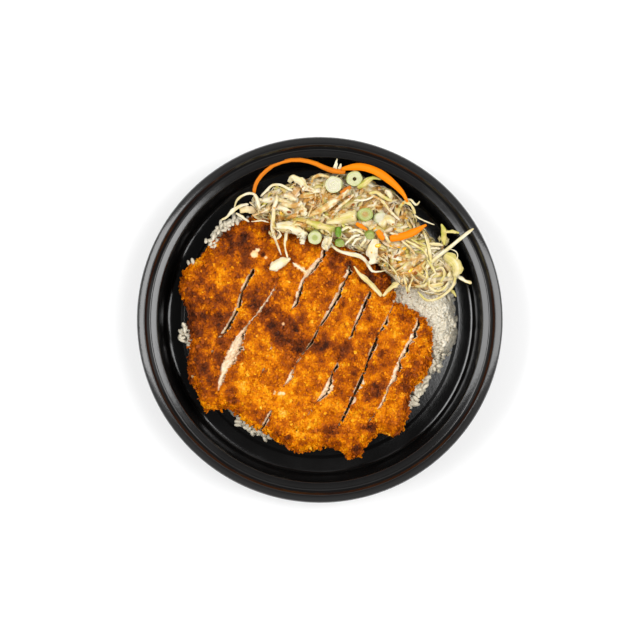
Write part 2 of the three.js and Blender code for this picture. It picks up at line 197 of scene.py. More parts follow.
# %% The room
ROOM_GLOW = 0.73
OVERHEAD_GLOW = 0.09
DIMS_FROM = 0.80  # 0 is the horizon and 1 is straight up
DARK_FROM = 0.95
WHITE = (1.0, 1.0, 1.0, 1.0)
world = bpy.data.worlds.new("studio")
world.use_nodes = True
tree = world.node_tree
way_up = put(tree, "SeparateXYZ", {0: put(tree, "TexCoord").outputs["Generated"]}).outputs["Z"]
overhead = put(tree, "MapRange", {"Value": way_up, "From Min": DIMS_FROM, "From Max": DARK_FROM})
glow = between(tree, overhead.outputs["Result"], ROOM_GLOW, OVERHEAD_GLOW)
tree.links.new(glow, tree.nodes["Background"].inputs["Strength"])
tree.nodes["Background"].inputs["Color"].default_value = WHITE
bpy.context.scene.world = world
print("the room glows", ROOM_GLOW, "round the plate and", OVERHEAD_GLOW, "overhead")

# %% [markdown]
# ## Finishes
# Every surface gets a material built from nodes, so that nothing has to be painted or loaded.
# Two effects are needed on several foods: soft blotches of a given size, and fibres that run along
# a piece. Each is made once, as a node group, and placed in each material with its own values.

# %% Blotches: soft spots of a given size in millimetres
blotches, taken, given = new_group("blotches", Size=5.0, Detail=3.0, Low=0.4, High=0.6)
scale = put(blotches, "Math", {0: 1 / MM, 1: taken.outputs["Size"]}, operation="DIVIDE")
place = put(blotches, "TexCoord").outputs["Object"]
pattern = {"Vector": place, "Scale": scale.outputs[0], "Detail": taken.outputs["Detail"]}
spots = put(blotches, "TexNoise", pattern).outputs["Fac"]
limits = {"Value": spots, "From Min": taken.outputs["Low"], "From Max": taken.outputs["High"]}
cut_off = put(blotches, "MapRange", limits, interpolation_type="SMOOTHSTEP")
blotches.links.new(cut_off.outputs["Result"], given.inputs["Mask"])
print("group", blotches.name)

# %% Fibres: streaks that follow a piece, read from its "run" attribute (along, across, which piece)
FARAWAY = 7.0  # neighbouring pieces read the noise this far apart, so that no two are alike
fibres, taken, given = new_group("fibres", Along=0.1, Across=2.0)
run = put(fibres, "Attribute", attribute_name="run").outputs["Vector"]
sizes = {"X": taken.outputs["Along"], "Y": taken.outputs["Across"], "Z": FARAWAY}
stretch = put(fibres, "CombineXYZ", sizes).outputs[0]
stretched = put(fibres, "VectorMath", {0: run, 1: stretch}, operation="MULTIPLY").outputs["Vector"]
streaks = put(fibres, "TexNoise", {"Vector": stretched, "Scale": 1.0, "Detail": 3.0}).outputs["Fac"]
spread = put(fibres, "MapRange", {"Value": streaks, "From Min": 0.3, "From Max": 0.7})
fibres.links.new(spread.outputs["Result"], given.inputs["Mask"])
print("group", fibres.name)

# %% [markdown]
# A helper starts each material. Food lets light in a little way before it comes out again, and the
# scattering distances say how far each colour travels: red goes deepest in meat and crumb.

# %% Starting a material


def new_material(name, roughness=0.5, scatter=0.0, reach=(1.0, 1.0, 1.0), reach_mm=1.0, gloss=0.5):
    """A material, its node tree and its main shader. reach is for red, green and blue."""
    material = bpy.data.materials.new(name)
    material.use_nodes = True
    shader = material.node_tree.nodes["Principled BSDF"]
    shader.inputs["Roughness"].default_value = roughness
    shader.inputs["Subsurface Weight"].default_value = scatter
    shader.inputs["Subsurface Radius"].default_value = reach
    shader.inputs["Subsurface Scale"].default_value = reach_mm * MM
    shader.inputs["Specular IOR Level"].default_value = gloss
    return material, material.node_tree, shader


def colour_by(tree, shader, colour):
    tree.links.new(colour, shader.inputs["Base Color"])


print("materials can start")

# %% [markdown]
# ### Black plastic
# The bowl is moulded polypropylene: near black, satin, with a faint waviness from the mould and
# places that handling has left a little duller. The waviness is a very shallow bump.

# %% Black plastic
BLACK = (0.0045, 0.0041, 0.0040, 1.0)
plastic, tree, shader = new_material("black_plastic")
shader.inputs["Base Color"].default_value = BLACK
dull = use_group(tree, blotches, Size=22.0, Low=0.35, High=0.7)
tree.links.new(between(tree, dull, 0.12, 0.18), shader.inputs["Roughness"])
waviness = use_group(tree, blotches, Size=1.4, Detail=2.0, Low=0.2, High=0.8)
bump(tree, shader, waviness, strength=0.10, depth_mm=0.12)
print(plastic.name)

# %% [markdown]
# ### Cooked rice
# A cooked grain is white, slightly grey and yellow, and lets some light through, so its shadows
# are soft. Subsurface scattering of about a millimetre does that. A thin wet film gives the small
# highlights. Each grain carries its own tone, so that neighbours can be told apart.

# %% Cooked rice
RICE_STOPS = [(0.0, 0.50, 0.45, 0.34), (0.5, 0.60, 0.54, 0.42), (1.0, 0.78, 0.72, 0.59)]
moist = {"roughness": 0.5, "scatter": 0.2, "reach": (1.2, 1.0, 0.8), "reach_mm": 1.2, "gloss": 0.15}
rice_finish, tree, shader = new_material("cooked_rice", **moist)
milky = use_group(tree, blotches, Size=3.0, Low=0.3, High=0.7)
tone = sum_of(tree, 0.0, (attribute(tree, "tone"), 0.75), (milky, 0.25))
colour_by(tree, shader, ramp(tree, tone, RICE_STOPS))
wet = use_group(tree, blotches, Size=2.0, Low=0.4, High=0.65)
tree.links.new(between(tree, wet, 0.4, 0.6), shader.inputs["Roughness"])
pores = use_group(tree, blotches, Size=0.7, Low=0.3, High=0.7)
bump(tree, shader, pores, strength=0.2, depth_mm=0.12)
print(rice_finish.name)

# %% [markdown]
# ### Fried crumb and chicken
# One material serves a whole strip. Two attributes on the mesh tell it what is where: "brown" says
# how far the crumb is fried, with painted shade added in the pits of the crumb, and "meat" marks
# the cut faces. A ramp turns "brown" into colours from pale gold through orange to dark brown. Fine
# blotches shift it a little from crumb to crumb.
# The meat is a warm white with fibres and a moist gloss.

# %% Fried crumb and chicken
CRUMB_STOPS = [
    (0.00, 0.80, 0.48, 0.08),
    (0.12, 0.76, 0.33, 0.004),
    (0.28, 0.65, 0.19, 0.0),
    (0.46, 0.41, 0.088, 0.0),
    (0.66, 0.20, 0.038, 0.0035),
    (1.00, 0.04, 0.009, 0.003),
]
MEAT_STOPS = [(0.0, 0.56, 0.35, 0.19), (0.5, 0.76, 0.58, 0.38), (1.0, 0.88, 0.76, 0.57)]
PATCHY = 0.12  # how far the patches shift the brown; the speckle is given for each material


def crumb_colour(tree, speckle):
    """Brown as the mesh says, shifted as much up as down by crumb-sized specks and by patches."""
    crumbs = use_group(tree, blotches, Size=1.0, Detail=4.0, Low=0.3, High=0.72)
    patches = use_group(tree, blotches, Size=5.0, Detail=4.0, Low=0.3, High=0.7)
    terms = ((attribute(tree, "brown"), 1.0), (crumbs, speckle), (patches, PATCHY))
    return ramp(tree, sum_of(tree, -0.5 * speckle - 0.5 * PATCHY, *terms), CRUMB_STOPS)


crisp = {"roughness": 0.5, "scatter": 0.10, "reach": (1.4, 0.6, 0.2), "reach_mm": 1.0, "gloss": 0.06}
katsu_finish, tree, shader = new_material("fried_crumb", **crisp)
strand = use_group(tree, fibres, Along=0.35, Across=1.6)
flesh = ramp(tree, strand, MEAT_STOPS)
meat = attribute(tree, "meat")
crust = crumb_colour(tree, speckle=0.14)
colour_by(tree, shader, mix(tree, meat, crust, flesh))
oily = use_group(tree, blotches, Size=2.2, Low=0.45, High=0.6)
tree.links.new(between(tree, oily, 0.62, 0.34), shader.inputs["Roughness"])
specks = use_group(tree, blotches, Size=0.6, Detail=4.0, Low=0.3, High=0.7)
bump(tree, shader, specks, strength=0.5, depth_mm=0.35)

dry = {"roughness": 0.45, "scatter": 0.10, "reach": (1.0, 0.5, 0.15), "reach_mm": 0.6, "gloss": 0.08}
crumb_finish, tree, shader = new_material("loose_crumb", **dry)
colour_by(tree, shader, crumb_colour(tree, speckle=0.11))
print(katsu_finish.name, crumb_finish.name)

# %% [markdown]
# ### Cabbage, carrot and spring onion
# Raw cabbage is thin and lets light through, so its shreds glow a little where they overlap. Veins
# run along them. "tone" goes from the white rib to the yellow-green leaf, and "stain" says how
# much brown dressing has soaked in. Carrot has fine fibres, and a slice of spring onion has rings.

# %% Cabbage
LEAF_STOPS = [
    (0.0, 0.72, 0.65, 0.47),
    (0.3, 0.66, 0.54, 0.26),
    (0.6, 0.55, 0.46, 0.13),
    (0.8, 0.42, 0.40, 0.06),
    (1.0, 0.26, 0.33, 0.02),
]
DRESSED_BROWN = (0.49, 0.235, 0.042)
DRESSING_AND_SHADE_BROWN = (0.42, 0.25, 0.09)  # the core: run-down dressing, and painted shade in the gaps
juicy = {"roughness": 0.4, "scatter": 0.15, "reach": (1.5, 1.1, 0.45), "reach_mm": 1.5, "gloss": 0.4}
cabbage, tree, shader = new_material("cabbage", **juicy)
vein = use_group(tree, fibres, Along=0.06, Across=1.3)
faded = use_group(tree, blotches, Size=6.0, Detail=2.0, Low=0.3, High=0.7)
tone = sum_of(tree, -0.35, (attribute(tree, "tone"), 0.9), (vein, 0.45), (faded, 0.35))
leaf = ramp(tree, tone, LEAF_STOPS)
soak = use_group(tree, blotches, Size=4.5, Detail=2.0, Low=0.36, High=0.64)
soaked = product(tree, soak, attribute(tree, "stain"))
stained = mix(tree, soaked, leaf, DRESSED_BROWN)
colour_by(tree, shader, mix(tree, attribute(tree, "deep"), stained, DRESSING_AND_SHADE_BROWN))
tree.links.new(between(tree, soaked, 0.38, 0.18), shader.inputs["Roughness"])
bump(tree, shader, vein, strength=0.35, depth_mm=0.25)
print(cabbage.name)

# %% Carrot
CARROT_STOPS = [(0.0, 0.36, 0.11, 0.02), (0.45, 0.58, 0.16, 0.004), (1.0, 0.86, 0.21, 0.0)]
carrot_finish, tree, shader = new_material("carrot", roughness=0.4, gloss=0.12)
fibre = use_group(tree, fibres, Along=0.08, Across=1.8)
tone = sum_of(tree, -0.4, (attribute(tree, "tone"), 1.0), (fibre, 0.6))
colour_by(tree, shader, ramp(tree, tone, CARROT_STOPS))
bump(tree, shader, fibre, strength=0.3, depth_mm=0.2)
print(carrot_finish.name)

# %% Spring onion
ONION_STOPS = [
    (0.0, 0.58, 0.54, 0.40),
    (0.3, 0.48, 0.50, 0.24),
    (0.6, 0.34, 0.36, 0.10),
    (1.0, 0.12, 0.26, 0.008),
]
HEART_BROWN = (0.40, 0.19, 0.035)
LAYERING = 24.0  # radians of light and dark from the middle of a slice to its skin
glassy = {"roughness": 0.25, "scatter": 0.3, "reach": (1.0, 1.2, 0.5), "reach_mm": 1.2}
onion_finish, tree, shader = new_material("spring_onion", **glassy)
layers = put(tree, "Math", {0: product(tree, attribute(tree, "ring"), LAYERING)}, operation="SINE")
tone = sum_of(tree, 0.0, (attribute(tree, "tone"), 1.0), (layers.outputs[0], 0.06))
green = ramp(tree, tone, ONION_STOPS)
colour_by(tree, shader, mix(tree, attribute(tree, "stain"), green, HEART_BROWN))
skin = use_group(tree, blotches, Size=1.2, Low=0.3, High=0.7)
bump(tree, shader, skin, strength=0.2, depth_mm=0.15)
print(onion_finish.name)

# %% [markdown]
# ### Dressing and table
# Drops of the soy and sesame dressing sit on the slaw. They are brown where they lie thick and
# yellow where oil has split out of them, and very glossy. The table is plain and matt.

# %% Dressing
DRESSING_STOPS = [(0.0, 0.20, 0.055, 0.008), (0.5, 0.50, 0.18, 0.012), (1.0, 0.92, 0.48, 0.02)]
syrupy = {"roughness": 0.12, "scatter": 0.3, "reach": (1.0, 0.5, 0.1), "reach_mm": 1.0}
dressing, tree, shader = new_material("dressing", **syrupy)
colour_by(tree, shader, ramp(tree, attribute(tree, "tone"), DRESSING_STOPS))
print(dressing.name)

# %% The table
TABLE_HALF = 3.0
TABLE_WHITE = (0.89, 0.89, 0.89, 1.0)
table_top, tree, shader = new_material("white_table", roughness=0.9, gloss=0.0)
shader.inputs["Base Color"].default_value = TABLE_WHITE
bm = bmesh.new()
bmesh.ops.create_grid(bm, x_segments=4, y_segments=4, size=TABLE_HALF)
mesh = bpy.data.meshes.new("table")
bm.to_mesh(mesh)
bm.free()
mesh.materials.append(table_top)
table = bpy.data.objects.new("table", mesh)
bpy.context.scene.collection.objects.link(table)
print("materials:", len(bpy.data.materials))

# %% [markdown]
# ## Helpers for making pieces
# A bmesh is Blender's editable mesh. These helpers turn one into an object that rides on the plate,
# copy a CAD piece with its corners joined, and remesh it into small even faces that can be shaped
# further.

# %% Piece helpers
SAME_PLACE = 0.01  # points nearer than this are one point, in millimetres


def mesh_of(bm, name):
    mesh = bpy.data.meshes.new(name)
    bm.to_mesh(mesh)
    bm.free()
    return mesh


def new_piece(mesh, finish, replaces=()):
    """An object that rides on the plate, wears a finish and may stand in for CAD nodes."""
    piece = bpy.data.objects.new(mesh.name, mesh)
    bpy.context.scene.collection.objects.link(piece)
    mesh.materials.clear()
    mesh.materials.append(finish)
    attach(piece, "root")
    if replaces:
        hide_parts(*replaces)
    print(mesh.name, len(mesh.polygons), "faces")
    return piece


def smooth_all(mesh):
    mesh.polygons.foreach_set("use_smooth", [True] * len(mesh.polygons))


def joined_copy(node):
    """A copy of a CAD node whose loose triangles share their corners."""
    bm = bmesh.new()
    bm.from_mesh(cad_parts[node].data)
    bmesh.ops.remove_doubles(bm, verts=bm.verts, dist=SAME_PLACE * MM)
    return bm


def evened(node, name, voxel_mm, soften):
    """A CAD node's shape in small even faces, with its facets softened."""
    rough = bpy.data.objects.new("rough", mesh_of(joined_copy(node), "rough"))
    bpy.context.scene.collection.objects.link(rough)
    even = rough.modifiers.new("even", "REMESH")
    even.mode = "VOXEL"
    even.voxel_size = voxel_mm * MM
    smooth = rough.modifiers.new("soften", "SMOOTH")
    smooth.factor = 0.5
    smooth.iterations = soften
    mesh = bpy.data.meshes.new_from_object(rough.evaluated_get(bpy.context.evaluated_depsgraph_get()))
    bpy.data.objects.remove(rough)
    mesh.name = name
    smooth_all(mesh)
    return mesh


print("pieces can be made and evened")

# %% [markdown]
# Thousands of vertices are moved faster as one array of numbers than one by one. Arrays also give
# each vertex a number that a material can read. A search tree finds what lies under or beside a
# point, however many faces there are.

# %% Helpers for vertices
OVERHEAD = 80.0  # safely above all the food, in millimetres


def points_of(mesh):
    """The vertices of a mesh, in millimetres."""
    flat = np.zeros(3 * len(mesh.vertices), np.float32)
    mesh.vertices.foreach_get("co", flat)
    return flat.reshape(-1, 3).astype(float) / MM


def normals_of(mesh):
    flat = np.zeros(3 * len(mesh.vertices), np.float32)
    mesh.vertices.foreach_get("normal", flat)
    return flat.reshape(-1, 3).astype(float)


def move_to(mesh, points):
    mesh.vertices.foreach_set("co", (points * MM).astype(np.float32).ravel())
    mesh.update()


def numbers(mesh, name, values):
    """Writes one number for each vertex, for a material to read."""
    made = mesh.attributes.new(name, "FLOAT", "POINT")
    made.data.foreach_set("value", np.broadcast_to(values, (len(mesh.vertices),)).astype(np.float32))


def vectors(mesh, name, values):
    made = mesh.attributes.new(name, "FLOAT_VECTOR", "POINT")
    made.data.foreach_set("vector", np.asarray(values, np.float32).ravel())


def surface_of(*meshes):
    """A search tree over some meshes, to find what lies under or beside a point."""
    places = []
    faces = []
    for mesh in meshes:
        first = len(places)
        places.extend(v.co.copy() for v in mesh.vertices)
        faces.extend([first + i for i in face.vertices] for face in mesh.polygons)
    return BVHTree.FromPolygons(places, faces)


def top_at(surface, x, y):
    """The height of a surface over a place, and its normal there, or nothing."""
    found, normal, _, _ = surface.ray_cast(Vector((x, y, OVERHEAD)) * MM, Vector((0, 0, -1)))
    return (None, None) if found is None else (found.z / MM, normal)


def smoothstep(low, high, value):
    """Goes from 0 at low to 1 at high, with no kink at either end."""
    share = np.clip((value - low) / (high - low), 0.0, 1.0)
    return share * share * (3 - 2 * share)


print("vertices can be read, moved and numbered")

# %% [markdown]
# Rice, crumbs and shreds come in hundreds. Each kind is modelled once with mesh operators, and then
# laid many times into one joined mesh, so that the scene stays light. `shape_of` reads the model's
# corners, `laid_out` joins the copies, and `turned` is the turn that lays a copy down.

# %% Many copies in one mesh


def shape_of(bm):
    """The corners and triangles of a small model, as arrays."""
    bmesh.ops.triangulate(bm, faces=bm.faces)
    points = np.array([v.co for v in bm.verts], float)
    faces = np.array([[v.index for v in f.verts] for f in bm.faces])
    bm.free()
    return points, faces


def laid_out(name, copies, faces, flat=None):
    """One mesh from many copies, (copies, corners, 3) in millimetres. flat marks unsmoothed faces."""
    count, corners = copies.shape[:2]
    every = (faces[None] + corners * np.arange(count)[:, None, None]).reshape(-1, 3)
    mesh = bpy.data.meshes.new(name)
    mesh.vertices.add(count * corners)
    mesh.vertices.foreach_set("co", (copies * MM).astype(np.float32).ravel())
    mesh.loops.add(every.size)
    mesh.loops.foreach_set("vertex_index", every.astype(np.int32).ravel())
    mesh.polygons.add(len(every))
    mesh.polygons.foreach_set("loop_start", np.arange(0, every.size, 3, dtype=np.int32))
    smooth = np.ones(len(faces), bool) if flat is None else ~flat
    mesh.polygons.foreach_set("use_smooth", np.tile(smooth, count))
    mesh.update(calc_edges=True)
    return mesh


def turned(along, up):
    """A turn that lays a shape's X along one direction and its Z near another."""
    x = along.normalized()
    z = (up - up.dot(x) * x).normalized()
    return np.array([x, z.cross(x), z], float)


print("copying helpers ready")

# %% [markdown]
# ## The bowl
# A takeaway bowl is pressed from one thin sheet. Its section is drawn once, as a chain of points
# from the middle of the floor, up the wall, over the rim and back under, and spun round the axis.
# The ledge and the flange slope outwards a little. On black plastic only the reflections show, and
# it is the slope that turns a soft box into a bright band that follows the rim.

# %% The bowl
FULL_TURN = 2 * math.pi
BOWL_STEPS = 240
BOWL_SECTION = [  # (radius, height) in millimetres
    (0, 2.2), (87.9, 2.2), (89.9, 1.2), (96.0, 1.2), (97.6, 1.4), (99.0, 1.85), (99.7, 2.7), (99.9, 5.0),
    (102.0, 39.8), (102.3, 40.7), (106.1, 39.7), (107.0, 40.0), (109.2, 44.2), (109.8, 44.9),
    (113.6, 43.8), (114.5, 42.4), (114.5, 38.5), (113.5, 38.5), (113.5, 41.6), (113.0, 42.8),
    (110.2, 43.9), (108.2, 39.6), (107.2, 39.0), (103.6, 38.9), (100.6, 4.0), (99.4, 0.7), (96.8, 0.0),
    (89.4, 0.0), (87.4, 1.0), (0, 1.0),
]  # fmt: skip
SHARP_TURN = 0.35  # a ring where the section turns by more than this gets rounded, in radians
ROUNDING = 0.35  # in millimetres

bm = bmesh.new()
chain = [bm.verts.new((radius * MM, 0, height * MM)) for radius, height in BOWL_SECTION]
edges = [bm.edges.new(pair) for pair in zip(chain, chain[1:])]
upright = {"cent": (0, 0, 0), "axis": (0, 0, 1), "angle": FULL_TURN}
bmesh.ops.spin(bm, geom=chain + edges, steps=BOWL_STEPS, use_merge=True, **upright)
bmesh.ops.remove_doubles(bm, verts=bm.verts, dist=SAME_PLACE * MM)
bmesh.ops.recalc_face_normals(bm, faces=bm.faces)
rings = []
for edge in bm.edges:
    one, other = (v.co for v in edge.verts)
    along_ring = math.hypot(one.z - other.z, one.xy.length - other.xy.length) < SAME_PLACE * MM
    if along_ring and len(edge.link_faces) == 2 and edge.calc_face_angle() > SHARP_TURN:
        rings.append(edge)
rounding = {"offset": ROUNDING * MM, "segments": 3, "profile": 0.5, "affect": "EDGES", "material": -1}
bmesh.ops.bevel(bm, geom=rings, clamp_overlap=True, **rounding)
mesh = mesh_of(bm, "takeaway_bowl")
smooth_all(mesh)
new_piece(mesh, plastic, ["bowl"])

# %% [markdown]
# ## The cutlet
# The knife has left eight strips that lie almost as they did before. The CAD strips have the right
# outline, thickness and cuts, so each one is copied and remeshed into half-millimetre faces.
# Then the crust is raised vertex by vertex: broad lumps, clumps of crumb with deep pits between
# them, and fine grit on top. The cut faces stay smooth, because a knife leaves them so.
# To know which vertices are cut, the script repeats where the cuts run.

# %% Where the knife went
CUT_ROWS = [-88, -69, -50.5, -31.5, -13, 6, 25, 43.5]  # Y from the near end to the far end
CUTS = [  # places along X at those rows, and where the cut gapes, by how much and over what length
    ([-79, -77.5, -75, -72.5, -65, -54, -47.5, -34], 25, 1.2, 20),
    ([-69, -67, -64.5, -63.5, -54.5, -38.5, -26, -17.5], -22, 8.6, 12),
    ([-56.5, -50, -43, -36, -29, -18.5, -12, 2.5], 30, 2.6, 12),
    ([-48, -38, -27.5, -17.5, -5.5, 4.5, 14, 22.5], -36, 1.8, 8),
    ([-23.5, -14, -1.5, 8.5, 18, 25, 34.5, 43], -44, 1.6, 10),
    ([1.5, 10.5, 19, 27.5, 34.5, 44.5, 52, 59.5], -20, 1.6, 16),
    ([17.5, 27.5, 39.5, 46.5, 55.5, 64, 72, 79.5], -20, 2.4, 16),
]
KERF = 0.9  # width of a cut that doesn't gape
SLANT = 1.7  # how far a cut leans between the cutlet's top and its base
CUTLET_BASE = 19.55
CUTLET_TOP = 38.05
NEAR_END = -96.0
FAR_END = 75.0
KNIFE_STEPS = np.linspace(NEAR_END, FAR_END, 16)


def line_at(places, y):
    """A smooth line through the cut's places, read at y."""
    rows = CUT_ROWS
    i = int(np.clip(np.searchsorted(rows, y) - 1, 0, len(rows) - 2))
    before, here, there, after = max(i - 1, 0), i, i + 1, min(i + 2, len(rows) - 1)
    span = rows[there] - rows[here]
    share = (y - rows[here]) / span
    into = (places[there] - places[before]) / (rows[there] - rows[before]) * span
    out = (places[after] - places[here]) / (rows[after] - rows[here]) * span
    a = 2 * places[here] - 2 * places[there] + into + out
    b = -3 * places[here] + 3 * places[there] - 2 * into - out
    return ((a * share + b) * share + into) * share + places[here]


def plain_face(cut, left_strip, points):
    """The X of the CAD strip's cut face beside each point."""
    places, at, gape, over = CUTS[cut]
    lines = np.array([line_at(places, y) for y in KNIFE_STEPS])
    opened = gape * np.exp(-(((KNIFE_STEPS - at) / over) ** 2))
    top = lines if left_strip else lines + KERF + opened
    foot = lines + SLANT + opened + (0 if left_strip else KERF)
    share = (points[:, 2] - CUTLET_BASE) / (CUTLET_TOP - CUTLET_BASE)
    along_top = np.interp(points[:, 1], KNIFE_STEPS, top)
    along_foot = np.interp(points[:, 1], KNIFE_STEPS, foot)
    return along_foot + (along_top - along_foot) * share


print(len(CUTS), "cuts")

# %% [markdown]
# No cut is as even as the CAD one. In places the strips still touch, in others a dark gap has
# opened, and where a strip has rolled over a little, pale meat shows beside the gap. For each cut
# a short list, read from the far end to the near end, says how wide the bare meat and the gap are.

# %% How the cuts opened
OPENED = [  # for each cut (y, bare meat, gap) in millimetres; below zero the strips still touch
    [(43, 0, -0.4), (33, 0, 0), (30, 0.4, 2.3), (27, 0.6, 2.2), (25, 1.6, 1.5), (20, 1, 1.2),
     (15, 0.6, 1.2), (10, 0.9, 1.6), (7, 1.8, 0.8), (5, 0.9, 1.6), (0, 1, 1.2), (-2, 0.4, 2.5),
     (-5, 1.4, 1.8), (-10, 2, 0.5), (-12, 0, -0.3), (-17, 0, -0.3), (-20, 0.7, 0.1), (-23, 0, -0.4)],
    [(26, 0, -0.4), (24, 0.4, -0.2), (20, 0.7, 0), (15, 1.2, 0), (12, 2, 0), (10, 1.2, 0), (5, 1.5, 0),
     (0, 1.8, 0), (-5, 2.8, 0), (-10, 5.5, 0), (-15, 8.5, 0.5), (-20, 8.5, 2.6), (-25, 9.5, 0.6),
     (-28, 8.5, 1.5), (-30, 7, 0), (-35, 5.6, 0), (-40, 3.4, 0), (-44, 1, 0), (-47, 0, -0.4)],
    [(47, 0.8, 0.8), (42, 1.2, 1.4), (40, 2.5, 1.2), (35, 3, 1.2), (30, 4, 0.6), (25, 1.8, 0.4),
     (20, 2, 1.6), (15, 2, 1.8), (10, 1.6, 1.4), (7, 0.4, 0), (5, 0, -0.4), (-11, 0, -0.4),
     (-13, 0.8, 0), (-15, 0, -0.3), (-18, 1, 0), (-20, 0, -0.3), (-23, 0.8, 0), (-25, 0, -0.3),
     (-31, 0.9, 0), (-34, 0.3, 0.3), (-37, 0, -0.4)],
    [(35, 0, -0.3), (32, 0.5, 0.8), (30, 2, 2), (25, 2.2, 1.1), (20, 1.8, 0.8), (15, 2.8, 1.9),
     (10, 2, 1.3), (5, 1.8, 1.2), (1, 1.2, 1.2), (-2, 0.3, 1), (-5, 0, 0.5), (-10, 0, 1.1),
     (-14, 0, 1.6), (-18, 0, 0.6), (-22, 0, 0), (-27, 0, 0.1), (-30, 1.2, 0), (-33, 2, 0),
     (-38, 4, 0), (-41, 1.2, 0), (-43, 0, -0.4), (-56, 0, -0.4), (-58, 1.2, 0.3), (-66, 1, 1)],
    [(19, 0, -0.3), (16, 0.8, 1.6), (10, 0.5, 1.6), (6, 1.8, 0.8), (0, 1.2, 0.9), (-4, 0.2, 0.5),
     (-7, 0.2, 1.4), (-10, 0, 1), (-12, 0, 0), (-15, 0, -0.3), (-26, 0, -0.3), (-28, 0.4, 0.4),
     (-30, 0.2, 1.6), (-33, 0, 0.8), (-36, 0.6, 0.5), (-40, 2, 1.2), (-44, 3.4, 0.9), (-48, 3, 1.2),
     (-51, 0.6, 0.6), (-53, 0, -0.3), (-56, 1.6, 0.4), (-59, 0.4, 0.3), (-61, 0, -0.3)],
    [(13, 0.8, 0), (1, 0.4, 0), (-2, 1, 1.5), (-5, 0.8, 1.2), (-8, 0.2, 0.3), (-10, 0, 0.4),
     (-12, 0, 1.4), (-16, 0, 2.3), (-20, 0, 1.7), (-27, 0, 0.6), (-30, 0, 1.5), (-35, 0, 1.4),
     (-40, 0, 2.1), (-47, 0, 1.4), (-55, 0, 1.5), (-63, 0, 1.3), (-68, 0, 0), (-71, 0, -0.3)],
    [(0, 0.5, 0.5), (-3, 2, 1.6), (-7, 1.5, 1.2), (-10, 2.5, 1.8), (-12, 4, 1), (-15, 2, 0.4),
     (-18, 1.5, 1.5), (-21, 2.8, 1.8), (-24, 1.2, 0.3), (-27, 1.5, 0.5), (-30, 3.4, 1.6),
     (-34, 3, 1.2), (-37, 4, 1), (-40, 3, 0.3), (-42, 0.6, 0.2), (-50, 1.6, 0.2), (-55, 1.8, 0.2),
     (-59, 0.4, 0.2), (-63, 0.3, 0.5), (-70, 0, -0.2)],
]  # fmt: skip
BARE_BEYOND = [  # bare meat beyond the gap too: (cut, y, half its length, width)
    (4, -43, 5, 1.5), (5, -41.5, 3, 2.5), (5, -51, 2, 2.5), (5, -57.5, 3, 0.6),
]  # fmt: skip
print("bare meat and gaps listed at", sum(len(rows) for rows in OPENED), "places")

# %% [markdown]
# The lists are read with some raggedness, because the crumb tears a little under the knife. Then the
# vertices of a strip are moved along X, from where the CAD face runs to where the list wants it. A
# little way inside the strip the movement has faded out.

# %% Opening the cuts
BARE_SHARE = 0.8  # the crumb's own thickness hides a fifth of the bare meat
WIDER_GAP = 0.5  # and closes the gap by this much
CLOSES = 3.0  # how much deeper touching strips are pushed into each other than their list says
LEAN = 0.08  # how much a cut leans per millimetre of depth
LIP = 1.2  # depth over which the bare meat slopes before the cut goes straight down
TORN_LENGTH = 1.4  # size of the ragged bits along a cut
TORN_HEIGHT = 2.5
BESIDE = 3.0  # how far from a cut the height of the crust is read
DRAGGED = 2.5  # when a face is moved, at least this much of the strip behind it comes along
FACE_REACH = 2.2  # how far from the cut's plane a point may be and still belong to its face
TOUCH_REACH = 3  # and how far from it no meat shows where the strips touch


def openness(cut, y, height):
    """Width of the bare meat, on the left and the right, and of the gap, at every point."""
    rows = np.array(OPENED[cut][::-1], float)
    spots = (Vector((b / TORN_LENGTH, c / TORN_HEIGHT, 40.0 * cut)) for b, c in zip(y, height))
    ragged = np.array([noise.noise(spot) for spot in spots])
    bare = np.interp(y, rows[:, 0], rows[:, 1]) * BARE_SHARE * (1 + 0.5 * ragged)
    gap = np.interp(y, rows[:, 0], rows[:, 2])
    gap += WIDER_GAP * smoothstep(0.2, 0.8, gap)
    beyond = np.zeros(len(y))
    for which, at, reach, wide in BARE_BEYOND:
        if which == cut:
            beyond = np.maximum(beyond, wide * np.exp(-(((y - at) / reach) ** 2)))
    return bare, beyond, np.where(gap < 0, gap * CLOSES, gap) + 0.4 * ragged


def crust_height(cut, left_strip, surface):
    """Height of the crust a little beside a cut, as a list over Y."""
    aside = -BESIDE if left_strip else BESIDE + KERF
    found = []
    for y in np.arange(NEAR_END, FAR_END + 1, 2.0):
        height = top_at(surface, line_at(CUTS[cut][0], y) + aside, y)[0]
        if height is not None:
            found.append((y, height))
    return np.array(found)


def slope_down(bare, depth):
    """How far down its slope, from 0 to 1, bare meat of some width is at some depth."""
    return np.clip(depth / (LIP + 0.25 * bare), 0, 1)


def reopened(cut, left_strip, points, normals, surface):
    """Moves a strip's points so that its cut face follows the list.

    Also says which points lie on that face, where meat shows on it, and where the cut is closed.
    """
    top = crust_height(cut, left_strip, surface)
    depth = np.maximum(np.interp(points[:, 1], top[:, 0], top[:, 1]) - points[:, 2], 0.0)
    face = plain_face(cut, left_strip, points)
    line = np.array([line_at(CUTS[cut][0], y) for y in points[:, 1]])
    bare, beyond, gap = openness(cut, points[:, 1], points[:, 2])
    if left_strip:
        into = face - points[:, 0]
        goal = line + bare * slope_down(bare, depth) + LEAN * depth
        shows = bare
    else:
        into = points[:, 0] - face
        slope = beyond * (1 - slope_down(beyond, depth))
        goal = line + bare + gap + slope + LEAN * depth
        shows = beyond
    shift = goal - face
    reach = DRAGGED + np.abs(shift)
    moved = points.copy()
    moved[:, 0] += shift * (1 - smoothstep(0.0, 1.0, np.clip(into, 0, None) / reach))
    looks_out = normals[:, 0] * (1 if left_strip else -1) > 0.45
    on_face = looks_out & (normals[:, 2] < 0.75) & (np.abs(into) < FACE_REACH)
    laid_bare = on_face * smoothstep(0.3, 0.8, shows) * smoothstep(0.05, 0.45, depth)
    closed = (np.abs(into) < TOUCH_REACH) * smoothstep(0.0, 0.5, -gap)
    return moved, on_face, laid_bare, closed


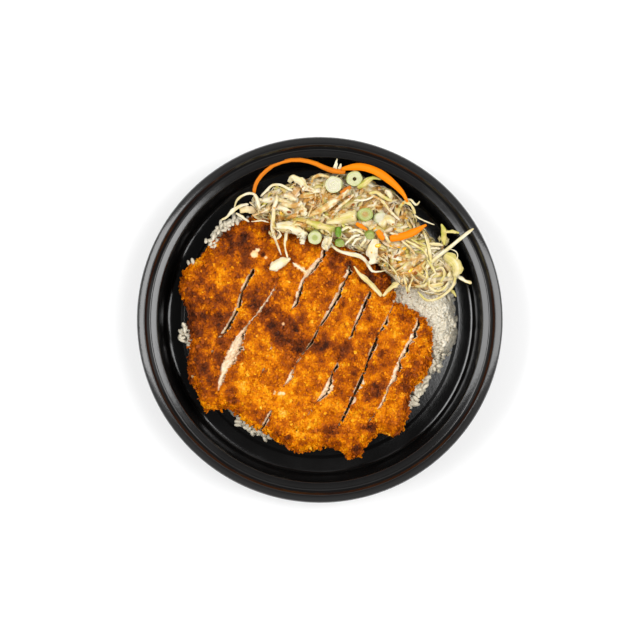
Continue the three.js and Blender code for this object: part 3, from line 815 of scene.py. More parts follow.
print("cuts can be opened up to", max(row[2] for rows in OPENED for row in rows), "mm wide")

# %% [markdown]
# A cutlet never browns evenly. Thin edges and high lumps go dark first, and hollows stay pale.
# Here the cook's work is a short list of places: where it is browner or paler than the rest, and
# where the crumb has come off and the batter shows.

# %% Where it browned
PLAIN_BROWN = 0.40
BROWNED = [  # (x, y, radius, how much browner) in millimetres
    (-74, 2, 21, 0.24), (-73, -28, 17, 0.2), (-51.5, 48.5, 16, 0.28), (-59.7, 55.5, 6, 0.3),
    (-36.3, 55.5, 6.3, 0.3), (-36, 11, 11, 0.28), (-30, 1, 10, 0.33), (-20, -8, 11, 0.38),
    (-14, -14, 8, 0.36), (-36, 41.3, 1.8, 0.6), (-72.4, 14.3, 7.6, 0.24), (-76.8, -13.0, 5.7, 0.2),
    (-69.2, 1.0, 5.1, 0.22), (-72.4, -29.4, 3.8, 0.3), (-45.8, 12.4, 5.7, 0.24),
    # the five places from (10, 36.5) to (37.2, 36.5) darken the crust along the edge of the slaw
    (-48.3, -3.5, 4.4, 0.2), (-12.2, -11.7, 4.4, 0.3), (10, 36.5, 5.7, 0.3), (19.5, 32.7, 5.7, 0.32),
    (29.6, 27, 5.7, 0.3), (42.3, 23.2, 7, 0.26), (37.2, 36.5, 5.1, 0.35), (-4, -16.8, 4.4, 0.32),
    (1.7, -16.1, 4.4, 0.35), (16.3, -16.8, 5.1, 0.28), (11.9, -21.8, 5.1, 0.22),
    (41.7, -22.5, 4.4, 0.2), (34.7, -44.6, 5.7, 0.33), (39.8, -40.2, 4.4, 0.28),
    (30.3, -48.4, 3.8, 0.3), (21.4, -33.2, 3.8, 0.22), (22.7, -40.8, 3.2, 0.2),
    (54.3, -42.1, 5.1, 0.26), (59.4, -51, 5.1, 0.22), (56.2, -33.2, 3.8, 0.2), (33.4, -68.1, 3.8, 0.3),
    (23.3, -82.7, 3.8, 0.32), (22.7, -87.7, 3.2, 0.32), (-19.8, -76.3, 3.8, 0.26),
    (-36.3, -60.5, 5.7, 0.2), (-55.3, -45.9, 4.4, 0.2), (-55.3, -51, 3.8, 0.24), (6.8, -71.3, 3.8, 0.2),
    (51.2, 1, 2.5, 0.2), (15.7, 10.5, 2.5, 0.22),
]  # fmt: skip
PALER = [  # (x, y, radius, how much paler)
    (-43.9, -33.2, 9, 0.14), (-36.3, -43, 10, 0.16), (-21.7, -52, 11, 0.18), (-8, -50, 9, 0.14),
    (-5.9, -60.5, 9, 0.16), (6.8, -54.1, 7.6, 0.13), (-61.6, 21.9, 3.8, 0.14), (13.1, -6.6, 6.3, 0.1),
    (25.8, -6.6, 5.1, 0.1), (44.8, -0.3, 5.7, 0.1), (53.7, -16.1, 4.4, 0.1), (41.7, -56, 6.3, 0.14),
    (16.3, 18.7, 4.4, 0.08), (-12.2, -70, 5.1, 0.12), (19.5, -63.7, 6.3, 0.1), (-20.4, 23.2, 2.5, 0.14),
    (49, -17, 14, 0.07), (17.6, 27, 10, 0.08),
]  # fmt: skip
BALD = [  # where the crumb has come off: (x, y, radius)
    (-41.3, 41.5, 2.7), (-39.4, 44.0, 1.8), (-23.1, -2.5, 1.1), (-34.1, 39.4, 1.1), (-81.2, -35.8, 1.7),
    (-25.5, -46.2, 1.5), (-28.7, -45.9, 1.3), (-23.0, -46.5, 1.2), (-15.4, 34.6, 1.4),
    (-13.2, 33.4, 1.6), (-10.8, 31.8, 1.7), (-8.6, 30.2, 2.0), (-5.6, 31.5, 1.8),
]  # fmt: skip


def strongest(places, points):
    """The strongest of some soft round patches, at each point."""
    felt = np.zeros(len(points))
    for x, y, radius, strength in places:
        away = np.hypot(points[:, 0] - x, points[:, 1] - y) / radius
        felt = np.maximum(felt, strength * np.exp(-(away**4)))
    return felt


def bald_at(points):
    """How bald the crust is at each point, from 0 to 1."""
    bald = np.zeros(len(points))
    for x, y, radius in BALD:
        away = np.hypot(points[:, 0] - x, points[:, 1] - y) / radius
        bald = np.maximum(bald, 1 - smoothstep(0.6, 1.1, away))
    return bald


print("plain crust", PLAIN_BROWN, "with", len(BROWNED), "browner and", len(PALER), "paler places")

# %% [markdown]
# The relief comes from noise of four sizes. Voronoi noise splits space into cells, like stones in
# a wall: the distance to the second nearest middle, less that to the nearest, is zero where two
# cells meet and rises inside each. So large cells give clumps of crumb with pits between them, and
# small ones give single crumbs. Every cell also has a number of its own, which lifts or sinks it.
# Some clumps fry darker than the rest, and the pits between them get painted shade, so the same
# noise also shifts the brown.

# %% The crumb's relief
LUMP_SIZE = 8.0  # across, in millimetres
CLUMP_SIZE = 3.0
CRUMB_SIZE = 1.5
GRIT_SIZE = 0.8
LUMP = 0.8  # how strongly each of them raises the crust
CLUMP = 0.8
CRUMB = 0.4
GRIT = 0.2
OWN_CLUMP = 0.5  # how far a clump or a crumb is lifted or sunk by its own number
OWN_CRUMB = 0.3
CLUMP_TOP = 0.7  # clumps and crumbs are cut off here, which gives them flat tops
CRUMB_TOP = 0.6
CRUMBS_ASIDE = Vector((3.1, 7.7, 1.3))  # shifts the small cells against the large ones
SUNK = 0.6  # sinks the whole relief, so that clumps end near the CAD surface and pits below it
SPOT_SIZE = 5.0
PATCH_SIZE = 11.0


def crumb_relief(point):
    """Height of the crust at a point in mm, and how much browner it is, with painted shade in pits."""
    near, centres = noise.voronoi(point / CLUMP_SIZE)
    fine, fine_centres = noise.voronoi(point / CRUMB_SIZE + CRUMBS_ASIDE)
    clump = min(near[1] - near[0], CLUMP_TOP)
    crumb = min(fine[1] - fine[0], CRUMB_TOP)
    own = noise.noise(centres[0] * 7.1)
    own_fine = noise.noise(fine_centres[0] * 5.3)
    broad = LUMP * noise.noise(point / LUMP_SIZE)
    height = broad + CLUMP * clump + CRUMB * crumb + OWN_CLUMP * own + OWN_CRUMB * own_fine - SUNK
    height += GRIT * noise.noise(point / GRIT_SIZE)
    browner = 0.20 * noise.noise(point / PATCH_SIZE) + 0.30 * noise.noise(point / SPOT_SIZE)
    # the last two terms are painted shade: they darken the pits and lighten the tops of clumps and
    # crumbs
    browner += 0.11 * own + 0.10 * own_fine + 0.18 * (0.25 - clump) + 0.10 * (0.25 - crumb)
    return height, browner


print("relief at a sample point:", crumb_relief(Vector((10.0, 10.0, 30.0)))[0])

# %% [markdown]
# Now each strip is made: its cuts are opened, the meat is marked where it lies deeper than the
# crust is thick, and every point of crust is raised along its normal by the relief.

# %% The strips
VOXEL = 0.5
RIM_OF_CRUMB = 1.1  # thickness of the crust where a cut shows it
HIDDEN = 2.5  # where strips touch, the meat begins this much deeper
FIBRE_RELIEF = 0.3  # how high the fibres of the meat stand on a cut face


def depth_under_crust(points, is_skin):
    """How far each cut vertex lies from the nearest crust, in millimetres."""
    skin = kdtree.KDTree(int(is_skin.sum()))
    for i in np.flatnonzero(is_skin):
        skin.insert(points[i], i)
    skin.balance()
    return np.array([0.0 if is_skin[i] else skin.find(points[i])[2] for i in range(len(points))])


def cut_both_sides(number, mesh):
    """A strip's points with its cuts opened, which are crust, and what the cuts say of each."""
    surface = surface_of(mesh)
    points, normals = points_of(mesh), normals_of(mesh)
    is_cut = np.zeros(len(points), bool)
    laid_bare, closed = np.zeros((2, len(points)))
    for cut, left_strip in ((number - 2, False), (number - 1, True)):
        if 0 <= cut < len(CUTS):
            points, *here = reopened(cut, left_strip, points, normals, surface)
            is_cut |= here[0]
            laid_bare = np.maximum(laid_bare, here[1])
            closed = np.maximum(closed, here[2])
    return points, ~is_cut, laid_bare, closed


def raised(points, meat, bald, brown):
    """How far each point is raised along its normal, and how brown it ends up."""
    shift = np.zeros(len(points))
    for i, place in enumerate(points):
        spot = Vector(place)
        if meat[i] > 0.98:
            shift[i] = FIBRE_RELIEF * noise.noise(Vector((spot.x / 2.0, spot.y / 5.0, spot.z / 1.1)))
            continue
        height, browner = crumb_relief(spot)
        shift[i] = (1 - meat[i]) * height * (1 - 0.75 * bald[i])
        brown[i] += browner * (0.4 + 1.2 * brown[i])
    return shift, brown


def make_strip(number):
    """One strip, and how brown each of its points is, or -1 where it isn't crust."""
    name = f"katsu_strip_{number}"
    mesh = evened(name, name + "_crisp", VOXEL, soften=5)
    points, is_skin, laid_bare, closed = cut_both_sides(number, mesh)
    move_to(mesh, points)
    normals = normals_of(mesh)
    deep = depth_under_crust(points, is_skin) - HIDDEN * closed
    meat = np.maximum(smoothstep(RIM_OF_CRUMB - 0.4, RIM_OF_CRUMB + 0.5, deep), laid_bare)
    bald = bald_at(points) * (normals[:, 2] > 0.3)
    brown = PLAIN_BROWN + strongest(BROWNED, points) - strongest(PALER, points)
    shift, brown = raised(points, meat, bald, brown)
    move_to(mesh, points + normals * shift[:, None])
    numbers(mesh, "brown", np.clip(brown - 0.7 * bald, 0.0, 1.0))
    numbers(mesh, "meat", np.maximum(meat, 0.7 * bald))
    vectors(mesh, "run", np.stack([points[:, 1], points[:, 2], points[:, 0] * 0.02], 1))
    piece = new_piece(mesh, katsu_finish, [name])
    return piece, np.where(is_skin & (bald < 0.3) & (meat < 0.3), brown, -1.0)


strips = [make_strip(number) for number in range(1, len(CUTS) + 2)]
strip_meshes = [piece.data for piece, _ in strips]

# %% [markdown]
# Panko is bread torn into splinters, and the ones that stand up are what makes the crust look
# crisp. A splinter is modelled once as a small block, and every copy is squashed and bent askew.
# Thousands of them are laid on the crust with their long side roughly along it, some lifted. A
# second lot is only for the cutlet's sides. They are longer and slimmer and stand out more, so that
# they break up the outline.

# %% Loose crumbs on the crust
CRUMBS = 16000
SIDE_CRUMBS = 7600
LEAST_BROWN = 0.12


def crust_points():
    """Every vertex of crust: place, normal and how brown it is."""
    rows = []
    for piece, brown in strips:
        is_crust = brown >= 0
        rows.append((points_of(piece.data)[is_crust], normals_of(piece.data)[is_crust], brown[is_crust]))
    return (np.concatenate([row[k] for row in rows]) for k in range(3))


def lay_crumbs(name, count, wanted, size, slim, lying):
    """Lays crumbs of about a size where they are wanted. lying is 1 where all lie flat."""
    bm = bmesh.new()
    bmesh.ops.create_cube(bm, size=0.8)
    shape, faces = shape_of(bm)
    draw = np.random.default_rng(21)
    points, normals, brown = crust_points()
    usable = np.flatnonzero(wanted(normals))
    copies = np.zeros((count, len(shape), 3))
    tones = np.zeros((count, len(shape)))
    for k, i in enumerate(draw.choice(usable, count, replace=False)):
        up = Vector(normals[i])
        along = Vector(draw.normal(size=3)) + up * draw.normal() * 0.35
        long = size * float(np.clip(draw.lognormal(0.0, 0.42), 0.5, 2.4))
        widths = np.array([1.0, slim * draw.uniform(0.4, 0.8), slim * draw.uniform(0.2, 0.5)]) * long
        bent = shape * widths * (1 + draw.uniform(-0.4, 0.4, shape.shape))
        place = points[i] + normals[i] * 0.22 * long
        copies[k] = bent @ turned(along - up * along.dot(up) * lying, up) + place
        tones[k] = brown[i] + draw.normal() * 0.09
    mesh = laid_out(name, copies, faces, flat=np.ones(len(faces), bool))
    numbers(mesh, "brown", np.clip(tones, LEAST_BROWN, 1.0).ravel())
    return new_piece(mesh, crumb_finish)


def looks_up(normals):
    return normals[:, 2] > 0.0


def looks_aside(normals):
    return np.abs(normals[:, 2]) < 0.5


lay_crumbs("panko_crumbs", CRUMBS, looks_up, size=1.1, slim=1.0, lying=0.75)
lay_crumbs("side_crumbs", SIDE_CRUMBS, looks_aside, size=2.2, slim=0.65, lying=0.35)

# %% [markdown]
# ## The rice
# Under everything lies a bed of sticky rice. Its inside never shows, so it is one solid core, and
# only its skin is made of grains. The bed is drawn in under the cutlet, and stands fuller where it
# lies bare beside it. A grain is a ball drawn out to 5 mm and bent a little. Most are half sunk in the
# core, and on the steep edges some stand out.

# %% The bed of rice
BARE_SIDE = np.array([0.97, -0.25, 0.0])  # on the other side the cutlet hangs over the bed's edge
BED_RADIUS = 85.0
DRAWN_IN = 5.0  # how far the edge is drawn in on that other side
FULLER = 6.0  # how much higher the bed's edge stands where it lies bare beside the cutlet
CORE_SUNK = 0.25  # the core lies this far under the CAD surface, to make room for its grains
bed_mesh = evened("rice", "rice_core", 1.2, soften=14)
bed_points = points_of(bed_mesh)
bed_normals = normals_of(bed_mesh)
drawn_in = DRAWN_IN * smoothstep(30.0, 60.0, -bed_points @ BARE_SIDE)
bed_points[:, :2] *= (1 - drawn_in / BED_RADIUS)[:, None]
x, y, z = bed_points.T
bare = smoothstep(58.0, 74.0, x) * smoothstep(-42.0, -26.0, y)
bed_points[:, 2] += FULLER * bare * smoothstep(2.0, 9.0, z) * (1 - smoothstep(14.0, 26.0, z))
move_to(bed_mesh, bed_points - bed_normals * CORE_SUNK)
# the core gets the brightest tone, painted light that lightens the shaded gaps between the grains
numbers(bed_mesh, "tone", 1.0)
new_piece(bed_mesh, rice_finish, ["rice"])

# %% One grain of rice
GRAIN = (5.2, 2.6, 2.4)  # long, wide and thick, in millimetres


def grain_ball():
    """A ball one unit across, with its poles on X."""
    bm = bmesh.new()
    on_side = Matrix.Rotation(math.pi / 2, 4, "Y")
    bmesh.ops.create_uvsphere(bm, u_segments=6, v_segments=5, radius=0.5, matrix=on_side)
    return shape_of(bm)


def lone_grain(shape, draw, place, up):
    """A grain of its own size and bend, laid down at a place."""
    bent = shape * np.array(GRAIN) * draw.uniform(0.88, 1.1)
    bent[:, 2] += 0.035 * bent[:, 0] ** 2 * draw.uniform(-1, 1)
    along = Vector(draw.normal(size=3)) - up * draw.normal() * 0.2
    along = along - up * along.dot(up) * 0.8
    return bent @ turned(along, up) + np.array(place)


print("a grain is about", GRAIN[0], "mm long")

# %% [markdown]
# Some grains lie in small heaps beside the cutlet. All the others are laid on the bed, in random
# order, wherever no grain lies yet and nothing covers them. Grains on steep edges would look too dark
# under lamps that stand high, so they get a brighter tone.

# %% Grains of rice
GRAIN_SPACING = 1.8  # not more than one grain starts in a cube of this size
DARKER = -0.1  # the heaps beside the cutlet lie in its shade
EDGE_GRAINS = [  # small heaps that peep out beside the cutlet: (x, y, z, radius, grains)
    (-84.5, -6, 22, 4, 24), (-85, -11, 21, 4, 24), (-83, -15, 20, 3, 12), (-80, 34, 24, 2.5, 11),
    (-69, 48.5, 24, 4, 26), (-66, 53, 24, 3, 16), (-62, 57.5, 24, 3, 16), (-57.5, 61, 25, 3, 16),
    (-53, 64, 25, 3, 14), (-50, -64.5, 17, 3, 18), (-44, -68.5, 17, 3.5, 24),
    (-38, -71, 17, 4, 34), (-32.5, -74, 17, 3, 18), (6, -78, 17, 4, 12), (67, -38, 20, 3, 16),
    (62, -45, 20, 4, 40), (58, -52, 20, 4, 36), (79, 14, 14, 5, 20), (79, 2, 13, 5, 20),
    (82, -9, 13, 5, 30), (81, -14, 13, 4, 20), (75, -22, 19, 4, 30), (72, -29, 19, 4, 36),
    (79, 24, 15, 5, 16),
]  # fmt: skip


def covered(cover, place, up):
    """Whether a flat spot of rice has food close above it."""
    above = cover.ray_cast((place + up * 0.3) * MM, Vector((0, 0, 1)), 30 * MM)
    return above[0] is not None and up.z > 0.6 and above[3] < 6 * MM


def edge_grains(shape, draw):
    """The small heaps that peep out beside the cutlet."""
    bed = surface_of(bed_mesh)
    copies = []
    for x, y, z, radius, count in EDGE_GRAINS:
        for _ in range(count):
            place = Vector((x, y, z)) + Vector(draw.normal(size=3)) * radius * 0.5
            normal = bed.find_nearest(place * MM)[1]
            copies.append(lone_grain(shape, draw, place, normal))
    return copies


def bed_grains(shape, draw):
    """The grains on the bed, and how much brighter each is: the more, the steeper it lies."""
    cover = surface_of(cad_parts["slaw"].data, *strip_meshes)
    copies = []
    brighter = []
    taken = set()
    for i in draw.permutation(len(bed_points)):
        place, up = Vector(bed_points[i]), Vector(bed_normals[i])
        cell = tuple(int(c // GRAIN_SPACING) for c in place)
        if cell in taken or up.z < -0.3 or place.z < 4 or covered(cover, place, up):
            continue
        taken.add(cell)
        steep = 1 - max(up.z, 0.0)
        lift = draw.uniform(-0.7, 0.1) + 2.6 * steep * draw.random() ** 2
        copies.append(lone_grain(shape, draw, place + up * lift, up))
        brighter.append(0.65 * steep)
    return copies, brighter


shape, faces = grain_ball()
draw = np.random.default_rng(4)
at_edges = edge_grains(shape, draw)
on_bed, brighter = bed_grains(shape, draw)
mesh = laid_out("rice_grains", np.array(at_edges + on_bed), faces)
shifts = np.array([DARKER] * len(at_edges) + brighter)
tones = draw.uniform(0.34, 0.66, len(shifts)) + shifts
numbers(mesh, "tone", np.repeat(tones, len(shape)))
new_piece(mesh, rice_finish)
print(len(at_edges), "grains in heaps and", len(on_bed), "on the bed")

# %% [markdown]
# ## The slaw
# A heap of shredded cabbage is mostly air and shreds. In the middle is a hidden core, and over it
# lie hundreds of shreds. The core is the CAD heap made a little smaller, so that the shreds end up
# where the CAD surface was. It is brown, partly for the dressing that has run down into it and
# partly as painted shade in the gaps between the shreds.

# %% The core of the heap
CORE_SHRINK = 1.3  # in millimetres


def biggest_island(bm):
    """The vertices of the largest connected part."""
    loose = set(bm.verts)
    islands = []
    while loose:
        stack = [loose.pop()]
        island = list(stack)
        while stack:
            for edge in stack.pop().link_edges:
                for vertex in loose.intersection(edge.verts):
                    loose.remove(vertex)
                    stack.append(vertex)
                    island.append(vertex)
        islands.append(island)
    return set(max(islands, key=len))


rough_heap = evened("slaw", "rough_heap", 1.9, soften=16)
bm = bmesh.new()
bm.from_mesh(rough_heap)
for vertex in bm.verts:
    vertex.co -= vertex.normal * CORE_SHRINK * MM
kept = biggest_island(bm)
bmesh.ops.delete(bm, geom=[v for v in bm.verts if v not in kept], context="VERTS")
heap_mesh = mesh_of(bm, "slaw_core")
smooth_all(heap_mesh)
heap_points = points_of(heap_mesh)
heap_normals = normals_of(heap_mesh)
# the whole core takes the inner brown: run-down dressing, and painted shade between the shreds
numbers(heap_mesh, "deep", 1.0)
numbers(heap_mesh, "tone", 0.5)
numbers(heap_mesh, "stain", 0.6)
vectors(heap_mesh, "run", heap_points)
new_piece(heap_mesh, cabbage, ["slaw"])
heap = surface_of(heap_mesh)

# %% [markdown]
# A shred is a flat strip with sharp edges. It is modelled once, straight and one unit long, and
# then bent along a route: every slice of it is moved to its place on the route, turned to face
# up, twisted a little, folded along its middle and made as wide as the shred is there.

# %% A straight strip and a smooth route
RIBBON_STEPS = 17


def ribbon_shape():
    """A flat strip one unit long, wide and thick: X along, Y across, Z through."""
    bm = bmesh.new()
    bmesh.ops.create_grid(bm, x_segments=RIBBON_STEPS, y_segments=2, size=0.5)
    bmesh.ops.solidify(bm, geom=bm.faces[:], thickness=1.0)
    bmesh.ops.recalc_face_normals(bm, faces=bm.faces)
    points, faces = shape_of(bm)
    points[:, 2] -= (points[:, 2].min() + points[:, 2].max()) / 2
    return points, faces


RIBBON, RIBBON_FACES = ribbon_shape()
RIBBON_RIM = [np.ptp(RIBBON[list(face), 2]) > 0.5 for face in RIBBON_FACES]


def resampled(route, count):
    """A smooth curve through some points, read at even steps."""
    route = np.asarray(route, float)
    padded = np.vstack([2 * route[0] - route[1], route, 2 * route[-1] - route[-2]])
    spans = len(route) - 1
    read = []
    for t in np.linspace(0, spans, count):
        i = min(int(t), spans - 1)
        s = t - i
        a, b, c, d = padded[i : i + 4]
        bend = (2 * a - 5 * b + 4 * c - d) * s**2 + (3 * b - 3 * c + d - a) * s**3
        read.append(0.5 * (2 * b + (c - a) * s + bend))
    return np.array(read)


def along_list(values, count):
    """A short list of numbers stretched evenly over a number of steps."""
    return np.interp(np.linspace(0, 1, count), np.linspace(0, 1, len(values)), values)


print("a shred has", len(RIBBON_FACES), "faces")

# %% [markdown]
# No two shreds are alike. Noise makes their edges ragged and their surface ruffled, and thin ones
# run out to a point, while pieces of leaf have broad torn ends.

# %% Ribbons
LEAF_WIDTH = 3.0  # anything broader is a piece of leaf
THIN_END = 0.45  # the width at both ends, as a share of the width that is asked for there
LEAF_END = 0.85


def across_and_through(route, ups, twist):
    """Which way is across a ribbon and which is through it, at every step of its route."""
    ways = np.gradient(route, axis=0)
    ways /= np.linalg.norm(ways, axis=1)[:, None]
    sides = np.cross(ups, ways)
    sides /= np.linalg.norm(sides, axis=1)[:, None]
    turn = along_list(twist, len(route))
    over = np.cos(turn)[:, None] * sides + np.sin(turn)[:, None] * np.cross(ways, sides)
    return over, np.cross(ways, over)


def unevenness(at, which, is_leaf):
    """How uneven a ribbon's width is at each of its corners, and how ruffled it is there."""
    other = 7.0 * which  # so that no two ribbons are alike
    torn = 3 if is_leaf else 1  # the edge of a leaf is torn in longer steps
    spots = list(zip(at, RIBBON[:, 1]))
    uneven = [noise.noise(Vector((0.3 * (a // torn) * torn, 2.0 * b, other))) for a, b in spots]
    ruffle = [noise.noise(Vector((0.25 * a, 1.5 * b, other + 3.5))) for a, b in spots]
    return np.array([uneven, ruffle])


class Ribbons:
    """Collects ribbons of one kind and joins them into one piece."""

    def __init__(self):
        self.copies = []
        self.numbers = {"tone": [], "stain": []}
        self.runs = []

    def add(self, route, ups, widths, thick, twist, fold, tone, stain, ragged):
        """Bends one strip along a route, in millimetres."""
        count = RIBBON_STEPS + 1
        route = resampled(route, count)
        over, through = across_and_through(route, resampled(ups, count), twist)
        wide = along_list(widths, count)
        wide[[0, -1]] *= THIN_END if max(widths) < LEAF_WIDTH else LEAF_END
        at = np.round((RIBBON[:, 0] + 0.5) * RIBBON_STEPS).astype(int)
        is_leaf = max(widths) > LEAF_WIDTH
        uneven, ruffle = unevenness(at, len(self.copies), is_leaf) * ragged
        across = RIBBON[:, 1] * wide[at] * (1 + uneven)
        lift = RIBBON[:, 2] * thick + wide[at] * fold * np.abs(2 * RIBBON[:, 1])
        lift += 0.7 * ruffle * np.minimum(wide[at], LEAF_WIDTH)
        self.copies.append(route[at] + over[at] * across[:, None] + through[at] * lift[:, None])
        self.numbers["tone"].append(np.full(len(at), tone))
        self.numbers["stain"].append(np.full(len(at), stain))
        along = at * np.linalg.norm(np.diff(route, axis=0), axis=1).mean()
        self.runs.append(np.stack([along, across, np.full(len(at), float(len(self.copies)))], 1))

    def join(self, name):
        """One mesh of all ribbons so far, with the numbers that materials read."""
        mesh = laid_out(name, np.array(self.copies), RIBBON_FACES, np.array(RIBBON_RIM))
        for label, values in self.numbers.items():
            numbers(mesh, label, np.array(values).ravel())
        vectors(mesh, "run", np.array(self.runs))
        return mesh


print("ribbons can be bent and joined")

# %% [markdown]
# Most shreds find their own way. Each crawls over the heap: it takes a step, falls back onto the
# surface, turns a little and lifts off again. That way no shred hangs in the air, and every side of
# the heap is covered. Broad shreds of leaf come first and lie low, and thin ones lie over them.

# %% A route over the heap
CRAWL_STEPS = 9
COMBED = Vector((1.6, 0.9, 0.0))  # the way that more shreds lie than not


def crawl(draw, start, up, length, bend, lift):
    """A route over the heap, and which way is up along it."""
    combed = COMBED * draw.choice([-1, 1])
    way = combed + Vector((draw.gauss(0, 1), draw.gauss(0, 1), draw.gauss(0, 0.3)))
    way = (way - up * way.dot(up)).normalized()
    route = []
    ups = []
    place = start.copy()
    wave = draw.uniform(0, 6.28)
    for i in range(CRAWL_STEPS):
        found, normal, _, _ = heap.find_nearest(place * MM)
        ground = found / MM
        rise = lift * (0.5 + 0.5 * math.sin(wave + 0.9 * i)) + 0.3
        route.append(ground + normal * rise)
        ups.append(normal.copy())
        way = (way - normal * way.dot(normal)).normalized()
        way = Matrix.Rotation(bend * (1 + 0.6 * math.sin(wave + i)), 3, normal) @ way
        place = ground + way * (length / (CRAWL_STEPS - 1))
    return np.array(route), np.array(ups)


print("a shred crawls", CRAWL_STEPS, "steps")

# %% Shreds that crawl over the heap
SHREDS = 540
BROAD = 320  # how many of them are broad
BROAD_WIDTHS = [2.4, 3.0, 4.0, 5.5]
THIN_WIDTHS = [1.2, 1.6, 2.2, 2.8]
THIN_THICK = 0.4
LOWEST_START = 15  # lower down, the heap lies on the rice
HEAP_TOP = 43.5
DRESSED = [  # where the dressing fell: (x, y, radius)
    (-9, 69, 14), (13, 72, 13), (34, 74, 13), (39, 44, 10), (50, 40, 11), (57, 29, 9), (-27, 67, 8),
    (-8, 81, 10), (46, 66, 9),
]  # fmt: skip


def dressed_at(x, y):
    """How much dressing fell on a place, from 0 to 1."""
    return max(math.exp(-((x - a) ** 2 + (y - b) ** 2) / r**2) for a, b, r in DRESSED)


def crawled_route(draw, broad):
    """Where a shred runs and which way is up along it, or nothing if it would lie badly."""
    i = draw.randrange(len(heap_points))
    steepest = -0.2 if broad else draw.choice([-0.5, -0.2])
    flattest = 1.0 if broad else draw.choice([0.5, 1.0])
    if not steepest < heap_normals[i][2] < flattest or heap_points[i][2] < LOWEST_START:
        return None
    length = draw.uniform(12, 26)
    lift = draw.uniform(0.2, 2.8) if broad else draw.uniform(1.2, 3.2)
    bend = draw.uniform(-0.18, 0.18)
    route, ups = crawl(draw, Vector(heap_points[i]), Vector(heap_normals[i]), length, bend, lift)
    return None if route[:, 2].max() > HEAP_TOP else (route, ups)


def add_shred(draw, broad, route, ups):
    """Adds a shred with a width, a twist, a fold and colours of its own."""
    wide = draw.choice(BROAD_WIDTHS) if broad else draw.choice(THIN_WIDTHS)
    widths = (wide * draw.uniform(0.4, 1), wide, wide * draw.uniform(0.3, 1))
    twist = (draw.uniform(-0.9, 0.9), draw.uniform(-0.3, 0.3), draw.uniform(-0.9, 0.9))
    tone = min(0.9, max(0.0, draw.gauss(0.22, 0.22))) if broad else draw.uniform(-0.1, 0.3)
    stain = draw.choice([0.0, 0.2, 0.4]) + dressed_at(*route[4][:2]) * draw.uniform(0.8, 1.7)
    fold = draw.uniform(-0.2, 0.3)
    crawling.add(route, ups, widths, THIN_THICK, twist, fold, tone, stain, ragged=0.3)


crawling = Ribbons()
draw = random.Random(12)
while len(crawling.copies) < SHREDS:
    broad = len(crawling.copies) < BROAD
    found = crawled_route(draw, broad)
    if found:
        add_shred(draw, broad, *found)
shreds = new_piece(crawling.join("shreds"), cabbage)
food = surface_of(heap_mesh, bed_mesh, shreds.data, *strip_meshes)
